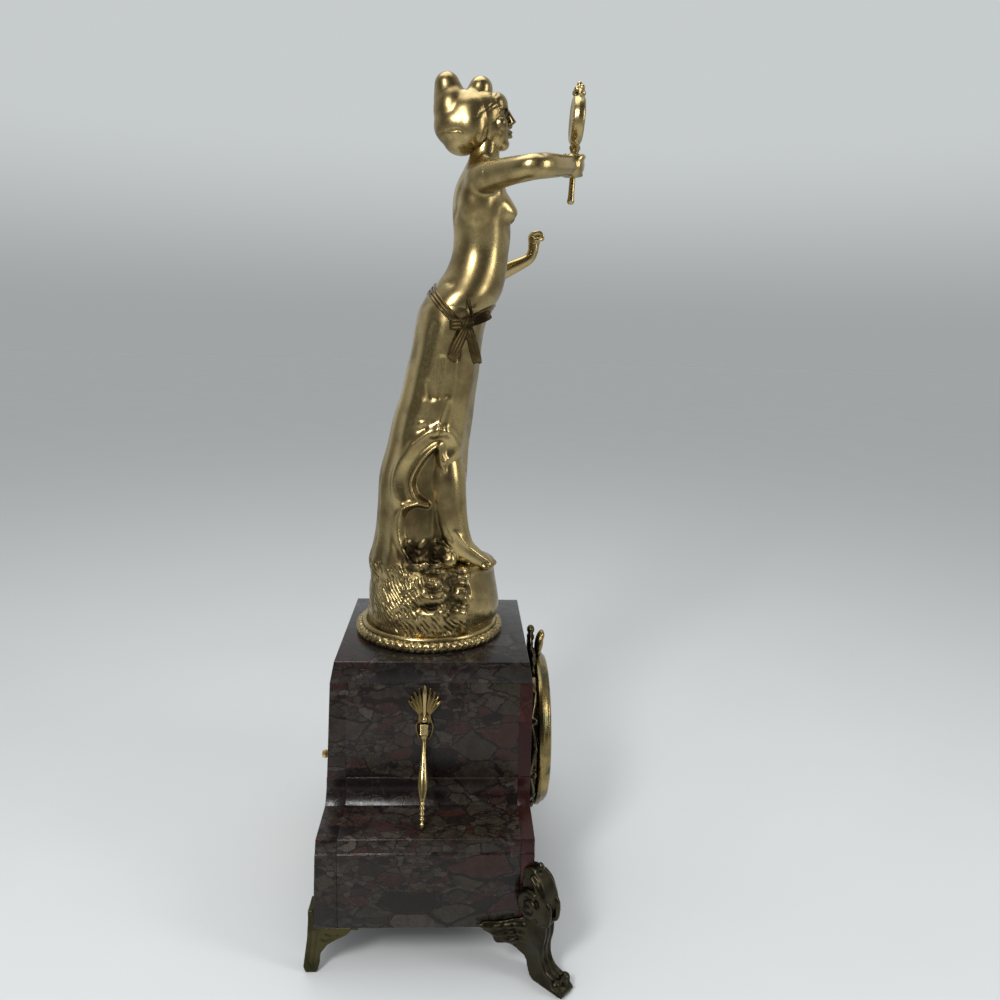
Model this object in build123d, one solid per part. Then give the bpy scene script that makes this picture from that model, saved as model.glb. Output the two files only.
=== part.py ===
"""Figural clock: marble case on bronze feet, round pendulum movement, gilt figure with a hand mirror."""
import math
import os

from build123d import *

os.makedirs("parts", exist_ok=True)

# Millimetres. The dial faces -Y, +Z is up, the floor is Z = 0. Pieces are drawn about the axis of the
# tower and set back by CASE_Y, so that the origin is the middle of the whole footprint.
CASE_Y = 7.5

# Marble case
BASE_Z = 34.2
BASE_EDGE_Z = 91.0
LEDGE_Z = 99.4
TOWER_Z = 118.4
BAND_Z = 188.3
TOP_SLAB = 14.9
TOP_Z = BAND_Z + TOP_SLAB
BASE_HALF = 123.6
LEDGE_INSET = 1.8
LEDGE_HALF = BASE_HALF - LEDGE_INSET
MOULD_HALF = 81.3
MOULD_HEAD = 75.9
MOULD_FILLET = 1.8
COVE_IN = 1.6
COVE_DOWN = 2.4
TOWER_FOOT = 74.6
TOWER_HEAD = 70.95
TOP_INSET = 2.75
FRONT_Y = -72.0
FRONT_SLAB = 9.0
BACK_Y = 60.0
BACK_HEAD = 70.7
BACK_FOOT = 76.2
ROOM_HALF = 59.0
FLOOR_SLAB = 8.8

# Dial and bezel. The dial sits a little above the middle of the case.
DIAL_LIFT = 9.35
DIAL_Z = (BASE_Z + BAND_Z) / 2 + DIAL_LIFT
APERTURE = 48.0
COLLAR_R = APERTURE - 0.2
COLLAR_BORE = 43.0
DIAL_R = 45.3
DIAL_FIT = 0.3
BEZEL_R = 60.5
FRAME_R = BEZEL_R - 2.5
RABBET_R = BEZEL_R - 10.5
SIGHT_R = BEZEL_R - 12.9
RABBET_DEEP = 3.8
GLASS_T = 2.0
GLASS_FIT = 0.2
GLASS_RISE = 4.0
FRAME_DEEP = 6.5
BEZEL_DEEP = 10.6
HINGE_GAP = 0.3
PIN_R = 1.0
PIN_FIT = 0.05
KNUCKLE_R = 1.9
KNUCKLE_HALF = 4.0

# Movement
PLATE_R = 42.0
PLATE_T = 2.4
PLATE_ROOM = 37.6
DIAL_ROOM = 8.8
RUN_FIT = 0.04
END_SHAKE = 0.3
PIVOT_SHY = 0.6
GREAT_TEETH = 72
GREAT_LEAVES = 12
GREAT_MOD = 0.5
MID_TEETH = 72
MID_LEAVES = 12
MID_MOD = 0.45
CENTRE_TEETH = 84
THIRD_LEAVES = 7
CENTRE_MOD = 0.38
THIRD_TEETH = 84
ESCAPE_LEAVES = 7
THIRD_MOD = 0.32
ESCAPE_TEETH = 40
ESCAPE_R = 9.5
CANNON_LEAVES = 12
MOTION_TEETH = 36
CANNON_MOD = 0.5
MOTION_LEAVES = 10
HOUR_TEETH = 40
PENDULUM_ROOM = 1.8
BOB_R = 12.0
ROD_R = 1.2
ROD_END = 4.2
PENDULUM_Y = -6.0

# Rear door
REAR_SEAT = 68.0
REAR_SEAT_R = 56.0
REAR_FRAME_R = 54.5
REAR_FRAME_T = 3.0
REAR_FLANGE = 2.0
REAR_SIGHT = 40.0
REAR_DOOR_R = 50.0

# Figure, heights above the top slab
RING_R = 57.0
RING_Y = 4.0
RING_H = 8.3
PLATE_TOP = RING_H - 1.0
ROCK_TOP = 54.8
BELT_H = 242.8
STUD_R = 3.0
STUD_PLAY = 0.4
STUD_TOP = 43.5

# Feet and their screws
SOLE_OUT = 31.5
FOOT_HALF = 6.5
WING_OUT = 2.5
CHEEK_T = 4.0
TAB_T = 3.0
TAB_REACH = 8.0
SCREW_R = 2.0
SCREW_HOLE = 2.05
SCREW_UP = 14.0
SCREW_HEAD_R = 3.6
SCREW_HEAD_T = 2.6
SLOT_HALF = 0.5
SLOT_DEEP = 1.0

# Cutting tools run this far past the faces they cut.
PAST = 5.0

FRONT_IN = FRONT_Y + FRONT_SLAB
FLOOR_Z = BASE_Z + FLOOR_SLAB
FRAME_FRONT = FRONT_Y - FRAME_DEEP
DOOR_BACK = FRAME_FRONT - HINGE_GAP
COLLAR_DEEP = 17.0
COLLAR_END = FRONT_Y + COLLAR_DEEP
PLATE_BACK = COLLAR_END + PLATE_T
REAR_PLATE = PLATE_BACK + PLATE_ROOM
REAR_PLATE_END = REAR_PLATE + PLATE_T
DIAL_BACK = COLLAR_END - DIAL_ROOM


def put(name, shape):
    export_step(Pos(0, CASE_Y, 0) * shape, f"parts/{name}.step")


def front_plane(y):
    return Plane(origin=(0, y, 0), x_dir=(1, 0, 0), z_dir=(0, -1, 0))


def side_plane(x):
    return Plane(origin=(x, 0, 0), x_dir=(0, 1, 0), z_dir=(1, 0, 0))


def y_rod(x, z, y0, y1, r):
    return Pos(x, (y0 + y1) / 2, z) * Rot(90, 0, 0) * Cylinder(r, abs(y1 - y0))


def z_rod(x, y, z0, z1, r):
    return Pos(x, y, (z0 + z1) / 2) * Cylinder(r, z1 - z0)


def block(x0, x1, y0, y1, z0, z1):
    centre = Pos((x0 + x1) / 2, (y0 + y1) / 2, (z0 + z1) / 2)
    return centre * Box(abs(x1 - x0), abs(y1 - y0), abs(z1 - z0))


def turned(points, x=0.0, z=DIAL_Z):
    """Ring or disc about an axis along Y, from (radius, y) points."""
    return Pos(x, 0, z) * revolve(make_face(Polyline(*points, close=True)), Axis.Y)


def slab_xz(points, y0, y1):
    return extrude(front_plane(max(y0, y1)) * make_face(Polyline(*points, close=True)), amount=abs(y1 - y0))


def slab_yz(points, x0, x1):
    return extrude(side_plane(min(x0, x1)) * make_face(Polyline(*points, close=True)), amount=abs(x1 - x0))


def ball(x, y, z, a, b=None, c=None):
    if b is None:
        return Pos(x, y, z) * Sphere(a)
    return Pos(x, y, z) * scale(Sphere(1.0), by=(a, b, c))


def body_loft(sections):
    """Smooth body through level ellipses (height, centre y, half depth, half width)."""
    return loft([Pos(0, cy, z) * Ellipse(hx, hy) for z, cy, hy, hx in sections])


def draped(z, cy, hy, hx, depth):
    """Level outline of the cloth: an ellipse with seven folds of the given relative depth."""
    points = []
    for k in range(42):
        a = 2 * math.pi * k / 42
        swell = 1 + depth * (math.cos(7 * a + 0.012 * z + 1.2) + 0.35 * math.cos(3 * a + 0.6) - 0.35)
        points.append((hx * swell * math.cos(a), cy + hy * swell * math.sin(a)))
    return Pos(0, 0, z) * make_face(Spline(*points, periodic=True))


def limb(stations):
    """Smooth tapering limb through circles (x, y, z, radius) square to its own line."""
    points = [Vector(s[0], s[1], s[2]) for s in stations]
    rings = []
    for i, s in enumerate(stations):
        ahead = points[min(i + 1, len(points) - 1)]
        behind = points[max(i - 1, 0)]
        rings.append(Plane(points[i], z_dir=ahead - behind) * Circle(s[3]))
    return loft(rings)


def group(solids):
    """Separate like solids kept together as one piece."""
    whole = solids[0]
    for solid in solids[1:]:
        whole = whole + solid
    return whole


def largest(shape):
    return max(shape.solids(), key=lambda solid: solid.volume)


def dome(y, rim_r, rise):
    """Arc from the apex (0, y + rise) to the rim (rim_r, y), centred on the axis."""
    ball_r = (rim_r**2 + rise**2) / (2 * abs(rise))
    drop = ball_r - math.sqrt(ball_r**2 - (rim_r / 2) ** 2)
    return ThreePointArc((0, y + rise), (rim_r / 2, y + rise - math.copysign(drop, rise)), (rim_r, y))


def both_sides(name, shape):
    put("left_" + name, shape)
    put("right_" + name, mirror(shape, about=Plane.YZ))


# Case outline, seen from the front: base with bevelled edge, ledge, hollow moulding, battered tower.
def case_outline():
    cove = ThreePointArc(
        (MOULD_HALF, LEDGE_Z),
        ((MOULD_HALF + MOULD_HEAD) / 2 - COVE_IN, (LEDGE_Z + TOWER_Z) / 2 - COVE_DOWN),
        (MOULD_HEAD, TOWER_Z - MOULD_FILLET),
    )
    low = Polyline(
        (0, BASE_Z),
        (BASE_HALF, BASE_Z),
        (BASE_HALF, BASE_EDGE_Z),
        (LEDGE_HALF, LEDGE_Z),
        (MOULD_HALF, LEDGE_Z),
    )
    high = Polyline(
        (MOULD_HEAD, TOWER_Z - MOULD_FILLET),
        (MOULD_HEAD, TOWER_Z),
        (TOWER_FOOT, TOWER_Z),
        (TOWER_HEAD, BAND_Z),
        (0, BAND_Z),
    )
    half = make_face([low, cove, high, Line((0, BAND_Z), (0, BASE_Z))])
    return half + mirror(half, about=Plane.YZ)


OUTLINE = case_outline()
front_blank = extrude(front_plane(FRONT_IN) * OUTLINE, amount=FRONT_SLAB)
front_slab = front_blank - y_rod(0, DIAL_Z, FRONT_Y - PAST, FRONT_IN + PAST, APERTURE)

lean = (BACK_FOOT - BACK_HEAD) / (BAND_Z - BASE_Z)
back_blank = extrude(front_plane(BACK_Y) * OUTLINE, amount=-(BACK_FOOT - BACK_Y + PAST))
back_waste = slab_yz(
    [
        (BACK_FOOT + lean * PAST, BASE_Z - PAST),
        (BACK_FOOT + 2 * PAST, BASE_Z - PAST),
        (BACK_FOOT + 2 * PAST, BAND_Z + PAST),
        (BACK_HEAD - lean * PAST, BAND_Z + PAST),
    ],
    -BASE_HALF - PAST,
    BASE_HALF + PAST,
)
back_solid = back_blank - back_waste
back_slab = back_solid - y_rod(0, DIAL_Z, BACK_Y - PAST, BACK_FOOT + PAST, APERTURE)
back_slab -= y_rod(0, DIAL_Z, REAR_SEAT, BACK_FOOT + PAST, REAR_SEAT_R)

tower_slab = slab_xz(
    [(-ROOM_HALF, TOWER_Z), (-TOWER_FOOT, TOWER_Z), (-TOWER_HEAD, BAND_Z), (-ROOM_HALF, BAND_Z)],
    FRONT_IN,
    BACK_Y,
)


def flank_block(z0, z1):
    """What the case outline holds between two levels, from the room inside out to the left."""
    band = Pos(-ROOM_HALF - BASE_HALF / 2, (z0 + z1) / 2) * Rectangle(BASE_HALF, z1 - z0)
    return extrude(front_plane(BACK_Y) * (OUTLINE & band), amount=BACK_Y - FRONT_IN)


moulding = flank_block(LEDGE_Z, TOWER_Z)
base_solid = flank_block(BASE_Z, LEDGE_Z)

# Screws that hold the feet go up into the base blocks.
SCREW_X = BASE_HALF - 15.0
SCREW_Y = (FRONT_IN + 9.0, BACK_Y - 6.0)
base_block = base_solid
for y in SCREW_Y:
    base_block -= z_rod(-SCREW_X, y, BASE_Z - PAST, BASE_Z + SCREW_UP + 0.5, SCREW_HOLE)

floor_slab = block(-ROOM_HALF, ROOM_HALF, FRONT_IN, BACK_Y, BASE_Z, FLOOR_Z)

top_low = Pos(0, (FRONT_Y + BACK_HEAD) / 2, BAND_Z) * Rectangle(2 * TOWER_HEAD, BACK_HEAD - FRONT_Y)
top_high = Pos(0, (FRONT_Y + BACK_HEAD) / 2, TOP_Z) * Rectangle(
    2 * (TOWER_HEAD - TOP_INSET), BACK_HEAD - FRONT_Y - 2 * TOP_INSET
)
top_slab = loft([top_low, top_high]) - z_rod(0, RING_Y, BAND_Z - PAST, TOP_Z + PAST, STUD_R + STUD_PLAY)

put("front_slab", front_slab)
put("back_slab", back_slab)
put("top_slab", top_slab)
put("base_floor", floor_slab)
both_sides("tower_slab", tower_slab)
both_sides("shoulder_moulding", moulding)
both_sides("base_block", base_block)

# Front corner foot: scroll up the corner edge, curved leg, toe set out on the diagonal, two leaf wings.
case_corner = front_blank + base_solid
S = math.sqrt(0.5)
corner = (-BASE_HALF, FRONT_Y, 0)
diagonal = Plane(origin=corner, x_dir=(-S, -S, 0), z_dir=(-S, S, 0))
leg_edge = Spline(
    (-5, 80.5),
    (3, 81.5),
    (9.5, 77),
    (14.5, 69),
    (16.4, 60),
    (14.2, 49),
    (12.8, 38),
    (11.0, 27),
    (12.2, 17),
    (17, 10.5),
    (24, 8.5),
    (SOLE_OUT - 2, 7),
)
leg_toe = ThreePointArc((SOLE_OUT - 2, 7), (SOLE_OUT + 1.2, 3.0), (SOLE_OUT - 1.5, 0))
leg_inner = Spline((7, 0), (1.5, 5), (-2.5, 14), (-9, 22), (-16, 27))
leg_face = make_face(
    [
        leg_edge,
        leg_toe,
        Line((SOLE_OUT - 1.5, 0), (7, 0)),
        leg_inner,
        Polyline((-16, 27), (-16, BASE_Z), (-5, BASE_Z), (-5, 80.5)),
    ]
)
leg = extrude(diagonal * leg_face, amount=FOOT_HALF, both=True)
# Width seen along the diagonal: broad scroll, narrow ankle, broad toe.
across = Plane(origin=corner, x_dir=(-S, S, 0), z_dir=(S, S, 0))
half_width = Spline(
    (4.4, 82), (6.2, 70), (6.4, 58), (5.6, 46), (6.3, 36), (5.4, 24), (4.4, 14), (5.4, 6), (6.2, 0)
)
width_face = make_face([half_width, Polyline((6.2, 0), (0, 0), (0, 82), (4.4, 82))])
width_face += mirror(width_face, about=Plane.YZ)
leg = leg & extrude(across * width_face, amount=2 * SOLE_OUT, both=True)
volute_half = FOOT_HALF + 1.2
volute_plane = Plane(
    origin=diagonal.from_local_coords((6.2, 64.0, 0)), x_dir=(-S, -S, 0), z_dir=(-S, S, 0)
)
volute = Cylinder(5.6, 2 * volute_half)
for end in (-volute_half, volute_half):
    volute -= Pos(0, 0, end) * Cylinder(3.4, 3.4)
volute = volute_plane * volute
wing_points = [
    (FRONT_Y - 1, 43),
    (FRONT_Y + 14, 42),
    (FRONT_Y + 26, 40.2),
    (FRONT_Y + 35, 38.7),
    (FRONT_Y + 33.5, 34),
    (FRONT_Y + 28, 30.5),
    (FRONT_Y + 25.2, 24.5),
    (FRONT_Y + 18, 23.5),
    (FRONT_Y + 11, 20),
    (FRONT_Y + 4, 13),
    (FRONT_Y - 3, 12),
]
wing_edge = Spline(*wing_points)
wing_face = make_face([wing_edge, Line(wing_points[-1], wing_points[0])])
wing = extrude(side_plane(-BASE_HALF - WING_OUT) * wing_face, amount=WING_OUT + 4.5)
wing += mirror(wing, about=Plane(origin=corner, z_dir=(1, -1, 0)))
tab = block(
    -BASE_HALF + 2, -SCREW_X + TAB_REACH, FRONT_Y + 2, SCREW_Y[0] + TAB_REACH, BASE_Z - TAB_T, BASE_Z
)
front_foot = leg + volute + wing + tab - case_corner
front_foot -= z_rod(-SCREW_X, SCREW_Y[0], 0, BASE_Z + PAST, SCREW_HOLE)
both_sides("front_foot", front_foot)

# Rear bracket foot: two flat cut-out cheeks at right angles, with a tab under the base.
cheek = [
    (BACK_FOOT - 0.5, BASE_Z + 13.5),
    (BACK_FOOT + 3.0, BASE_Z + 13.5),
    (BACK_FOOT + 4.4, BASE_Z - 8),
    (BACK_FOOT + 7.4, 4.2),
    (BACK_FOOT + 5.8, 0),
    (BACK_FOOT - 1.6, 0),
    (BACK_FOOT - 3.4, 5.5),
    (BACK_FOOT - 4.3, 14.3),
    (BACK_FOOT - 9.5, 21.5),
    (BACK_FOOT - 16.6, 25.8),
    (BACK_FOOT - 22, 28.6),
    (BACK_FOOT - 26, 33),
    (BACK_FOOT - 26, BASE_Z),
    (BACK_FOOT - 0.5, BASE_Z),
]
side_cheek = slab_yz(cheek, -BASE_HALF, -BASE_HALF + CHEEK_T)
back_cheek = slab_xz(
    [
        (-BASE_HALF, BASE_Z + 13.5),
        (-BASE_HALF + 17, BASE_Z + 12.5),
        (-BASE_HALF + 25, BASE_Z + 6),
        (-BASE_HALF + 31, BASE_Z - 1),
        (-BASE_HALF + 22, 27.5),
        (-BASE_HALF + 12, 21.5),
        (-BASE_HALF + 7.5, 12),
        (-BASE_HALF + 6.5, 0),
        (-BASE_HALF, 0),
    ],
    BACK_FOOT - 0.8,
    BACK_FOOT + 3.4,
)
rear_tab = block(
    -BASE_HALF + 2, -SCREW_X + TAB_REACH, SCREW_Y[1] - TAB_REACH, BACK_FOOT, BASE_Z - TAB_T, BASE_Z
)
rear_foot = side_cheek + back_cheek + rear_tab - back_solid - base_solid
rear_foot -= z_rod(-SCREW_X, SCREW_Y[1], 0, BASE_Z + PAST, SCREW_HOLE)
both_sides("rear_foot", rear_foot)

screws = []
head_z = BASE_Z - TAB_T
head_end = head_z - SCREW_HEAD_T
for x in (-SCREW_X, SCREW_X):
    for y in SCREW_Y:
        shank = z_rod(x, y, head_z, BASE_Z + SCREW_UP, SCREW_R)
        head = z_rod(x, y, head_end, head_z, SCREW_HEAD_R)
        slot = block(x - PAST, x + PAST, y - SLOT_HALF, y + SLOT_HALF, head_end - PAST, head_end + SLOT_DEEP)
        screws.append(shank + head - slot)
put("foot_screws", group(screws))

# Gilt side mount: palmette on the flank, collar, baluster stem that stands on the ledge.
MOUNT_Y = 4.2
HUB_DROP = 31.3
HUB_Z = BAND_Z - HUB_DROP
PETAL = 29.5
PETAL_STEP = 3.4
PETAL_TURN = 21
PETAL_T = 3.0
STEM_STAND = 0.536
batter = math.atan2(TOWER_FOOT - TOWER_HEAD, BAND_Z - TOWER_Z)
hub_x = -(TOWER_FOOT - (HUB_Z - TOWER_Z) * math.tan(batter))
flank = Plane(
    origin=(hub_x, MOUNT_Y, HUB_Z), x_dir=(0, -1, 0), z_dir=(-math.cos(batter), 0, math.sin(batter))
)
fan = Circle(6.5)
ribs = []
for k in range(-3, 4):
    reach = PETAL - PETAL_STEP * abs(k)
    turn = Rot(0, 0, PETAL_TURN * k)
    fan += turn * Pos(0, reach * 0.56) * Ellipse(3.3, reach * 0.44)
    ribs.append(flank * (turn * Pos(0, reach * 0.52, 2.6) * Rot(90, 0, 0) * Cylinder(1.5, reach * 0.8)))
palmette = extrude(flank * fan, amount=PETAL_T)
stem_top = Vector(hub_x - 4.6, MOUNT_Y, HUB_Z + 1.5)
stem_out = MOULD_HALF + STEM_STAND * (LEDGE_HALF - MOULD_HALF)
stem_end = Vector(-stem_out, MOUNT_Y, LEDGE_Z + 2.2)
stem_axis = stem_end - stem_top
stem_len = stem_axis.length
# Baluster outline: radius, and share of the way down the stem.
BALUSTER = (
    (5.2, 0.0),
    (6.4, 0.035),
    (5.0, 0.07),
    (3.4, 0.112),
    (3.2, 0.192),
    (4.6, 0.288),
    (7.4, 0.416),
    (8.6, 0.544),
    (7.6, 0.656),
    (5.0, 0.768),
    (3.2, 0.848),
    (4.2, 0.888),
    (2.8, 0.92),
    (3.6, 0.971),
    (2.2, 1.0),
)
stem_points = [(radius, share * stem_len) for radius, share in BALUSTER]
stem_ends = Polyline(stem_points[-1], (0, stem_len), (0, 0), stem_points[0])
stem = revolve(make_face([Spline(*stem_points), stem_ends]), Axis.Y)
stem_plane = Plane(origin=stem_top, x_dir=(0, 1, 0), z_dir=stem_axis.cross(Vector(0, 1, 0)) * -1)
stem = stem_plane * stem
side_mount = palmette + ball(hub_x - 4.0, MOUNT_Y, HUB_Z + 1.5, 5.6)
for rib in ribs:
    side_mount += rib
side_mount += stem
side_mount = side_mount - tower_slab - base_solid - moulding
both_sides("side_mount", side_mount)

# Fixed bezel frame: flange on the marble, collar into the aperture, two hinge lugs at 3 o'clock.
HINGE_X = BEZEL_R + 2.4
HINGE_Y = FRAME_FRONT - HINGE_GAP / 2
frame_ring = turned(
    [
        (COLLAR_BORE, COLLAR_END),
        (COLLAR_R, COLLAR_END),
        (COLLAR_R, FRONT_Y),
        (FRAME_R, FRONT_Y),
        (FRAME_R, FRONT_Y - 2.6),
        (FRAME_R - 1.5, FRONT_Y - 3.8),
        (FRAME_R - 1.5, FRAME_FRONT),
        (COLLAR_R - 1.0, FRAME_FRONT),
        (DIAL_R + DIAL_FIT, FRAME_FRONT + 1.3),
        (DIAL_R + DIAL_FIT, DIAL_BACK + 2.6),
        (COLLAR_BORE, DIAL_BACK + 2.6),
    ]
)
KNUCKLE_GAP = 0.4
KNUCKLE_END = KNUCKLE_HALF + 5.4
PLATE_SCREW_AT = 45.4
PLATE_SCREW_R = 1.0
bore = z_rod(HINGE_X, HINGE_Y, DIAL_Z - KNUCKLE_END - PAST, DIAL_Z + KNUCKLE_END + PAST, PIN_R + PIN_FIT)
bezel_frame = frame_ring
for s in (-1, 1):
    z0 = DIAL_Z + s * (KNUCKLE_HALF + KNUCKLE_GAP)
    z1 = DIAL_Z + s * KNUCKLE_END
    bezel_frame += block(FRAME_R - 2, HINGE_X, HINGE_Y + 0.4, HINGE_Y + KNUCKLE_R, z0, z1)
    bezel_frame += z_rod(HINGE_X, HINGE_Y, min(z0, z1), max(z0, z1), KNUCKLE_R)
bezel_frame -= bore
for s in (-1, 1):
    bezel_frame -= y_rod(0, DIAL_Z + s * PLATE_SCREW_AT, COLLAR_END - 4, COLLAR_END + 1, PLATE_SCREW_R + 0.05)
put("bezel_frame", bezel_frame)

PIN_CAP_R = 1.6
PIN_CAP_T = 1.4
pin_low = DIAL_Z - KNUCKLE_END
pin_high = DIAL_Z + KNUCKLE_END
bezel_pin = z_rod(HINGE_X, HINGE_Y, pin_low - PIN_CAP_T / 2, pin_high + PIN_CAP_T / 2, PIN_R)
bezel_pin += z_rod(HINGE_X, HINGE_Y, pin_high, pin_high + PIN_CAP_T, PIN_CAP_R)
bezel_pin += z_rod(HINGE_X, HINGE_Y, pin_low - PIN_CAP_T, pin_low, PIN_CAP_R)
put("bezel_hinge_pin", bezel_pin)

# Hinged bezel: turned ring with a rabbet for the glass.
bezel_ring = turned(
    [
        (RABBET_R, DOOR_BACK),
        (BEZEL_R - 1.0, DOOR_BACK),
        (BEZEL_R, DOOR_BACK - 1.0),
        (BEZEL_R, DOOR_BACK - 4.2),
        (BEZEL_R - 1.7, DOOR_BACK - 5.4),
        (BEZEL_R - 2.7, DOOR_BACK - 8.0),
        (BEZEL_R - 5.3, DOOR_BACK - 10.0),
        (BEZEL_R - 7.9, DOOR_BACK - BEZEL_DEEP),
        (BEZEL_R - 10.1, DOOR_BACK - 9.4),
        (SIGHT_R + 1.8, DOOR_BACK - 7.0),
        (SIGHT_R, DOOR_BACK - 5.8),
        (SIGHT_R, DOOR_BACK - RABBET_DEEP),
        (RABBET_R, DOOR_BACK - RABBET_DEEP),
    ]
)
knuckle_low = DIAL_Z - KNUCKLE_HALF
knuckle_high = DIAL_Z + KNUCKLE_HALF
lug = block(BEZEL_R - 2.2, HINGE_X, HINGE_Y - KNUCKLE_R, HINGE_Y - 0.35, knuckle_low, knuckle_high)
knuckle = z_rod(HINGE_X, HINGE_Y, knuckle_low, knuckle_high, KNUCKLE_R)
bezel_door = bezel_ring + (lug + knuckle - bore)
put("bezel_door", bezel_door)

glass_y = DOOR_BACK - RABBET_DEEP
glass_back = glass_y + GLASS_T
glass_r = RABBET_R - GLASS_FIT
dome_r = SIGHT_R - 2 * GLASS_FIT
glass_half = make_face(
    [
        dome(glass_y, dome_r, -GLASS_RISE),
        Polyline((dome_r, glass_y), (glass_r, glass_y), (glass_r, glass_back), (dome_r, glass_back)),
        dome(glass_back, dome_r, -GLASS_RISE),
        Line((0, glass_back - GLASS_RISE), (0, glass_y - GLASS_RISE)),
    ]
)
put("bezel_glass", Pos(0, 0, DIAL_Z) * revolve(glass_half, Axis.Y))

# Leaf cresting on the crown of the bezel frame, with a scroll down each side.
crest_z = DIAL_Z + FRAME_R
crest_section = make_face(
    [
        Spline(
            (FRONT_Y, crest_z + 12),
            (FRONT_Y - 1.6, crest_z + 20),
            (FRONT_Y - 5.0, crest_z + 26.2),
            (FRONT_Y - 10, crest_z + 25.6),
            (FRONT_Y - 15.6, crest_z + 20.6),
        ),
        Spline(
            (FRONT_Y - 15.6, crest_z + 20.6),
            (FRONT_Y - 10.5, crest_z + 19.8),
            (FRONT_Y - 7.2, crest_z + 13),
            (FRONT_Y - 6.4, crest_z - 4),
        ),
        Polyline((FRONT_Y - 6.4, crest_z - 4), (FRONT_Y, crest_z - 4), (FRONT_Y, crest_z + 12)),
    ]
)
leaf_half = make_face(
    [
        Spline(
            (0, crest_z + 28),
            (5, crest_z + 24),
            (7.5, crest_z + 18),
            (13, crest_z + 14),
            (15, crest_z + 7),
            (21, crest_z - 1),
            (22, crest_z - 8),
        ),
        Polyline((22, crest_z - 8), (0, crest_z - 8), (0, crest_z + 28)),
    ]
)
leaf = leaf_half + mirror(leaf_half, about=Plane.YZ)
CREST_HALF = 30.0
crest = extrude(side_plane(-CREST_HALF) * crest_section, amount=2 * CREST_HALF)
crest &= extrude(front_plane(FRONT_Y + PAST) * leaf, amount=CREST_HALF)
crest_bore = FRAME_FRONT - CREST_HALF
crest -= turned([(0, FRONT_Y), (FRAME_R, FRONT_Y), (FRAME_R, crest_bore), (0, crest_bore)])
scroll_y = FRONT_Y - 3.2
scroll_r = FRAME_R + 3.2
for s in (-1, 1):
    path = []
    for k in range(5):
        a = math.radians(90 - s * (16 + 12 * k))
        path.append((scroll_r * math.cos(a), scroll_y, DIAL_Z + scroll_r * math.sin(a), 3.0 - 0.35 * k))
    tip = path[-1]
    crest += limb(path) + ball(tip[0], tip[1], tip[2], 2.9)
crest -= frame_ring + front_blank
put("bezel_crest", crest)

# Train of the movement: arbor places follow from the tooth counts.
CENTRE = (0.0, DIAL_Z)
BARREL = (13.0, DIAL_Z - 16.6)


def meet(a, ra, b, rb, side):
    """Point at ra from a and rb from b, on one side of the line between them."""
    dx, dz = b[0] - a[0], b[1] - a[1]
    d = math.hypot(dx, dz)
    along = (ra * ra - rb * rb + d * d) / (2 * d)
    off = side * math.sqrt(ra * ra - along * along)
    return (a[0] + (along * dx - off * dz) / d, a[1] + (along * dz + off * dx) / d)


great_run = (GREAT_TEETH + GREAT_LEAVES) / 2 * GREAT_MOD
mid_run = (MID_TEETH + MID_LEAVES) / 2 * MID_MOD
centre_run = (CENTRE_TEETH + THIRD_LEAVES) / 2 * CENTRE_MOD
third_run = (THIRD_TEETH + ESCAPE_LEAVES) / 2 * THIRD_MOD
MID = meet(CENTRE, mid_run, BARREL, great_run, 1)
THIRD_OUT = 11.0
ANCHOR_OVER = 5.0
THIRD = (-THIRD_OUT, DIAL_Z + math.sqrt(centre_run**2 - THIRD_OUT**2))
ESCAPE = (0.0, THIRD[1] + math.sqrt(third_run**2 - THIRD_OUT**2))
ANCHOR = (0.0, ESCAPE[1] + ESCAPE_R + ANCHOR_OVER)
motion_run = (MOTION_TEETH + CANNON_LEAVES) / 2 * CANNON_MOD
MOTION_MOD = 2 * motion_run / (HOUR_TEETH + MOTION_LEAVES)
motion_way = math.radians(195)
MOTION = (motion_run * math.cos(motion_way), DIAL_Z + motion_run * math.sin(motion_way))

TOOTH = ((-1.3, 0.225), (0, 0.225), (0.55, 0.17), (1.05, 0.07))
LEAF = ((-1.45, 0.15), (0, 0.19), (0.35, 0.16), (0.62, 0.09))
LEAF_7 = ((-1.45, 0.12), (0, 0.19), (0.35, 0.15), (0.6, 0.07))


def toothed(at, teeth, mod, shape, phase, y0, y1):
    """Toothed disc between y0 and y1; shape lists (height in modules, half thickness in pitches)."""
    pitch_r = teeth * mod / 2
    points = []
    for k in range(teeth):
        mid = phase + 2 * math.pi * k / teeth
        flank_pts = [(pitch_r + up * mod, half * math.pi * mod / pitch_r) for up, half in shape]
        for r, a in flank_pts:
            points.append((at[0] + r * math.cos(mid - a), at[1] + r * math.sin(mid - a)))
        for r, a in reversed(flank_pts):
            points.append((at[0] + r * math.cos(mid + a), at[1] + r * math.sin(mid + a)))
    return slab_xz(points, y0, y1)


def aim(a, b):
    return math.atan2(b[1] - a[1], b[0] - a[0])


def crossed(wheel, at, rim, hub, y0, y1):
    """Cut five round windows, so the wheel keeps a rim, a hub and arms."""
    mid = (rim + hub) / 2
    window = (rim - hub) / 2 - 0.5
    for k in range(5):
        a = 2 * math.pi * k / 5
        wheel -= y_rod(at[0] + mid * math.cos(a), at[1] + mid * math.sin(a), y0 - PAST, y1 + PAST, window)
    return wheel


def arbor(at, r, pivot):
    """Arbor between the plates with a pivot in each."""
    rod = y_rod(at[0], at[1], PLATE_BACK + END_SHAKE, REAR_PLATE - END_SHAKE, r)
    return rod + y_rod(at[0], at[1], COLLAR_END + PIVOT_SHY, REAR_PLATE_END - PIVOT_SHY, pivot)


def gap_turn(angle, leaves):
    return angle + math.pi + math.pi / leaves


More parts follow.
